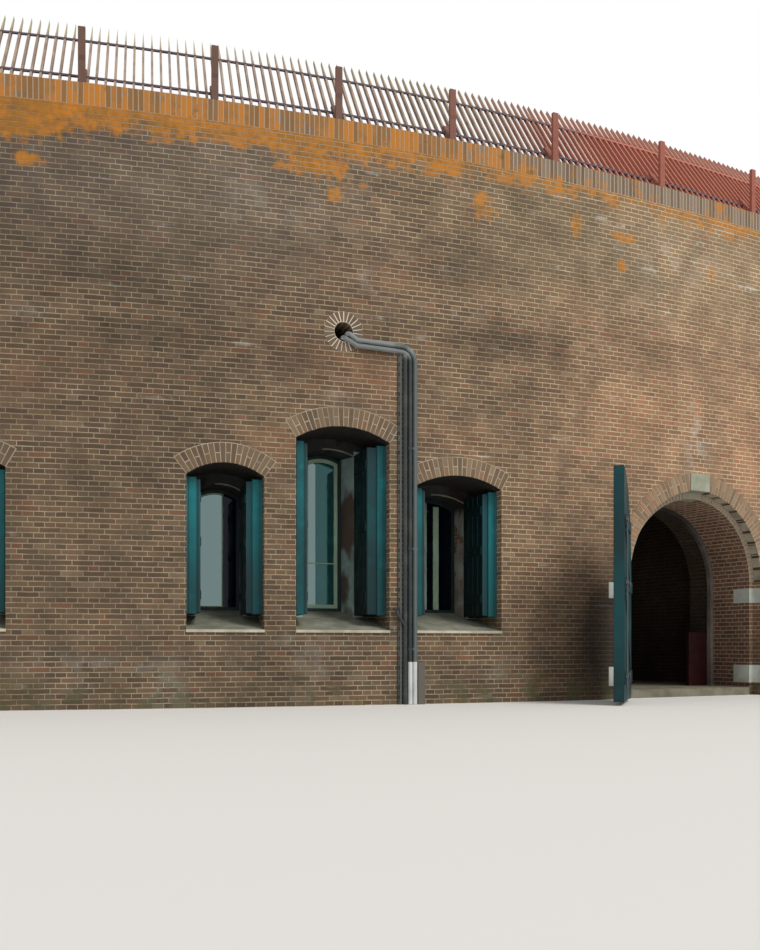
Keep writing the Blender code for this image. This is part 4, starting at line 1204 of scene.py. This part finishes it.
class RANGE_OT_doors(bpy.types.Operator):
    """Put boards, ledges, braces and bolts on the door leaves"""

    bl_idname = "range.doors"
    bl_label = "Doors"

    def execute(self, context):
        look = context.scene.range_look
        paint = named("door paint", paint_material, tuple(0.34 * part for part in look.teal))
        iron = named("old iron", iron_material, plain=True)
        dress(nodes_like("door_leaf"), paint)
        for word, side in (("left", -1.0), ("right", 1.0)):
            hinge = opening(DOOR_AT) @ Matrix.Translation((side * HINGE_REACH, -HINGE_PROUD, 0.0))
            place = hinge @ Matrix.Rotation(side * math.radians(LEAF_OPEN), 4, "Z")
            wood = bmesh.new()
            self.boards(wood, place, side)
            self.ledges(wood, place, side)
            soften(wood, wood.edges[:], 0.003)
            add_piece(f"leaf_boards_{word}", wood, paint, f"{word}_leaf")
            metal = bmesh.new()
            self.bolts(metal, place, side)
            add_piece(f"leaf_iron_{word}", metal, iron, f"{word}_leaf")
        return {"FINISHED"}

    def top(self, w):
        inside = max(0.0, LEAF_RADIUS ** 2 - (HINGE_REACH - w) ** 2)
        return DOOR_SPRING + math.sqrt(inside) - 0.006

    def boards(self, bm, place, side):
        first, last = 0.208, 1.338
        pitch = (last - first) / LEAF_BOARDS
        for i in range(LEAF_BOARDS):
            w0 = first + pitch * i + 0.002
            w1 = w0 + pitch - 0.004
            outline = [(-side * w0, 0.044), (-side * w1, 0.044)]
            outline += [(-side * w, self.top(w)) for w in (w1, 0.5 * (w0 + w1), w0)]
            slab(bm, outline, LEAF_FRONT - 0.005, 0.007, place)
            slab(bm, outline, LEAF_FRONT + LEAF_THICKNESS - 0.002, 0.006, place)

    def ledges(self, bm, place, side):
        back = LEAF_FRONT + LEAF_THICKNESS
        for z0, z1, w0 in ((0.24, 0.38, 0.27), (1.30, 1.44, 0.27), (2.02, 2.15, 0.44)):
            bar(bm, place, (-side * w0, -side * 1.30), (back, back + 0.020), (z0, z1))
        for z0, z1, w0, w1 in ((0.38, 1.30, 0.40, 1.22), (1.44, 2.02, 0.56, 1.22)):
            rise, run = z1 - z0, w1 - w0
            tilt = math.atan2(rise, -side * run)
            middle = Matrix.Translation((-side * 0.5 * (w0 + w1), 0.0, 0.5 * (z0 + z1)))
            local = place @ middle @ Matrix.Rotation(-tilt, 4, "Y")
            half = 0.5 * math.hypot(rise, run) - 0.03
            bar(bm, local, (-half, half), (back, back + 0.018), (-0.05, 0.05))

    def bolts(self, bm, place, side):
        back = LEAF_FRONT + LEAF_THICKNESS + 0.024
        middle = Matrix.Translation((-side * BOLT_AT, back + 0.008, 1.15))
        rod(bm, place @ middle, 0.009, BOLT_LENGTH)
        for z in (0.31, 1.37, 2.08):
            bar(bm, place, (-side * 1.23, -side * 1.31), (back - 0.006, back + 0.020),
                (z, z + 0.035))
        for z in (0.33, 1.39):
            ring = place @ Matrix.Translation((-side * 0.82, back + 0.006, z))
            rod(bm, ring @ Matrix.Rotation(math.radians(90.0), 4, "X"), 0.03, 0.012, 16)


class RANGE_OT_fence(bpy.types.Operator):
    """Rust the fence, and set a picket at each joint between its bays"""

    bl_idname = "range.fence"
    bl_label = "Fence"

    def execute(self, context):
        iron = iron_material("fence iron")
        dress(nodes_like("fence"), iron)
        joints = bmesh.new()
        outline = [(-PICKET_HALF, 0.02), (PICKET_HALF, 0.02), (PICKET_HALF, 1.015), (0.0, 1.38),
                   (-PICKET_HALF, 1.015)]
        for s in (-0.5 * BAY, 0.5 * BAY):
            place = opening(s) @ Matrix.Translation((0.0, FENCE_SETBACK + 0.002, COPING_TOP))
            slab(joints, outline, 0.0, 0.040, place @ Matrix.Rotation(-FENCE_LEAN, 4, "X"))
        add_piece("fence_joint_pickets", joints, iron)
        return {"FINISHED"}


class RANGE_OT_pipes(bpy.types.Operator):
    """Finish the pipes and the duct, and add the pipes' sleeves and the cables beside them"""

    bl_idname = "range.pipes"
    bl_label = "Pipes"

    def execute(self, context):
        black = named("black pipe", pipe_material, (0.018, 0.026, 0.027), 0.3)
        grey = named("grey pipe", pipe_material, (0.10, 0.13, 0.13), 0.3)
        dress(["pipe_black"], black)
        dress(["pipe_grey"], grey)
        dress(["pipe_duct"], named("duct", pipe_material, (0.115, 0.103, 0.080), 0.5))
        steel = bmesh.new()
        for across in PIPES_AT:
            rod(steel, Matrix.Translation(at(across, -0.0242, 0.245)), 0.0275, 0.485, 20)
        soften(steel, [edge for edge in steel.edges if len(edge.link_faces) == 2 and
                       edge.calc_face_angle(0.0) > 1.0], 0.003)
        for label, finish, lines in (("cables_black", black, ((0.645, 0.008), (0.725, 0.027))),
                                     ("cable_grey", grey, ((0.677, 0.011),))):
            cables = bmesh.new()
            for across, radius in lines:
                foot = at(across, CABLE_SUNK - radius, CABLE_MIDDLE)
                rod(cables, Matrix.Translation(foot), radius, CABLE_LENGTH)
            if label == "cables_black":
                stub = opening(0.655) @ Matrix.Translation((0.0, -0.035, 1.0))
                rod(cables, stub @ Matrix.Rotation(math.radians(-32.0), 4, "Y"), 0.017, 0.26)
            add_piece(label, cables, finish)
        sleeve = named("bare steel", pipe_material, (0.66, 0.69, 0.69), 0.3)
        add_piece("pipe_sleeves", steel, sleeve)
        return {"FINISHED"}


class RANGE_OT_stage(bpy.types.Operator):
    """Set the plain floor, the soft light and the camera"""

    bl_idname = "range.stage"
    bl_label = "Stage"

    def execute(self, context):
        scene = context.scene
        bm = bmesh.new()
        bmesh.ops.create_circle(bm, cap_ends=True, segments=64, radius=FLOOR_RADIUS)
        mesh = bpy.data.meshes.new("floor")
        bm.to_mesh(mesh)
        bm.free()
        floor = bpy.data.objects.new("floor", mesh)
        scene.collection.objects.link(floor)
        finish, tree, shader = new_material("stage floor")
        surface(tree, shader, (0.80, 0.79, 0.77, 1.0), 0.9)
        mesh.materials.append(finish)
        self.sky(scene)
        sun = bpy.data.lights.new("sun", "SUN")
        sun.energy = 1.7
        sun.angle = math.radians(25.0)
        sun.color = (1.0, 0.97, 0.92)
        lamp = bpy.data.objects.new("sun", sun)
        lamp.rotation_euler = (math.radians(42.0), 0.0, math.radians(38.0))
        scene.collection.objects.link(lamp)
        camera = bpy.data.cameras.new("camera")
        camera.lens = FOCAL / PICTURE_HEIGHT * SENSOR
        camera.shift_y = HORIZON_SHIFT / PICTURE_HEIGHT
        camera.clip_end = 300.0
        view = bpy.data.objects.new("camera", camera)
        view.location = (-2.146, -13.868, 0.661)
        view.rotation_euler = (math.radians(90.0), 0.0, math.radians(CAMERA_YAW))
        scene.collection.objects.link(view)
        scene.camera = view
        scene.view_settings.view_transform = "Standard"
        return {"FINISHED"}

    def sky(self, scene):
        """Soft light on the range, before a white background."""
        world = bpy.data.worlds.new("sky")
        world.use_nodes = True
        scene.world = world
        tree = world.node_tree
        shader = tree.nodes["Background"]
        path = tree.nodes.new("ShaderNodeLightPath")
        seen = Value(tree, path.outputs["Is Camera Ray"])
        seen = seen.high_of(Value(tree, path.outputs["Is Glossy Ray"]))
        seen = seen.high_of(Value(tree, path.outputs["Is Transmission Ray"]))
        feed(tree, shader.inputs["Strength"], seen * 0.42 + 0.58)
        shader.inputs["Color"].default_value = (1.0, 1.0, 1.0, 1.0)


STEPS = (RANGE_OT_brickwork, RANGE_OT_arches, RANGE_OT_sills, RANGE_OT_windows, RANGE_OT_shutters,
         RANGE_OT_stonework, RANGE_OT_doors, RANGE_OT_fence, RANGE_OT_pipes, RANGE_OT_stage)


class RANGE_PT_panel(bpy.types.Panel):
    """The range's sizes, colours and steps"""

    bl_idname = "RANGE_PT_panel"
    bl_label = "Barracks range"
    bl_space_type = "VIEW_3D"
    bl_region_type = "UI"
    bl_category = "Range"

    def draw(self, context):
        look = context.scene.range_look
        for name in look.bl_rna.properties.keys():
            if name not in ("rna_type", "name"):
                self.layout.prop(look, name)
        for step in STEPS:
            self.layout.operator(step.bl_idname)


CLASSES = (RangeSettings, *STEPS, RANGE_PT_panel)


def register():
    for item in CLASSES:
        bpy.utils.register_class(item)
    bpy.types.Scene.range_look = bpy.props.PointerProperty(type=RangeSettings)


def unregister():
    del bpy.types.Scene.range_look
    for item in reversed(CLASSES):
        bpy.utils.unregister_class(item)


def main():
    register()
    for step in STEPS:
        group, action = step.bl_idname.split(".")
        getattr(getattr(bpy.ops, group), action)()


if __name__ == "__main__":
    main()
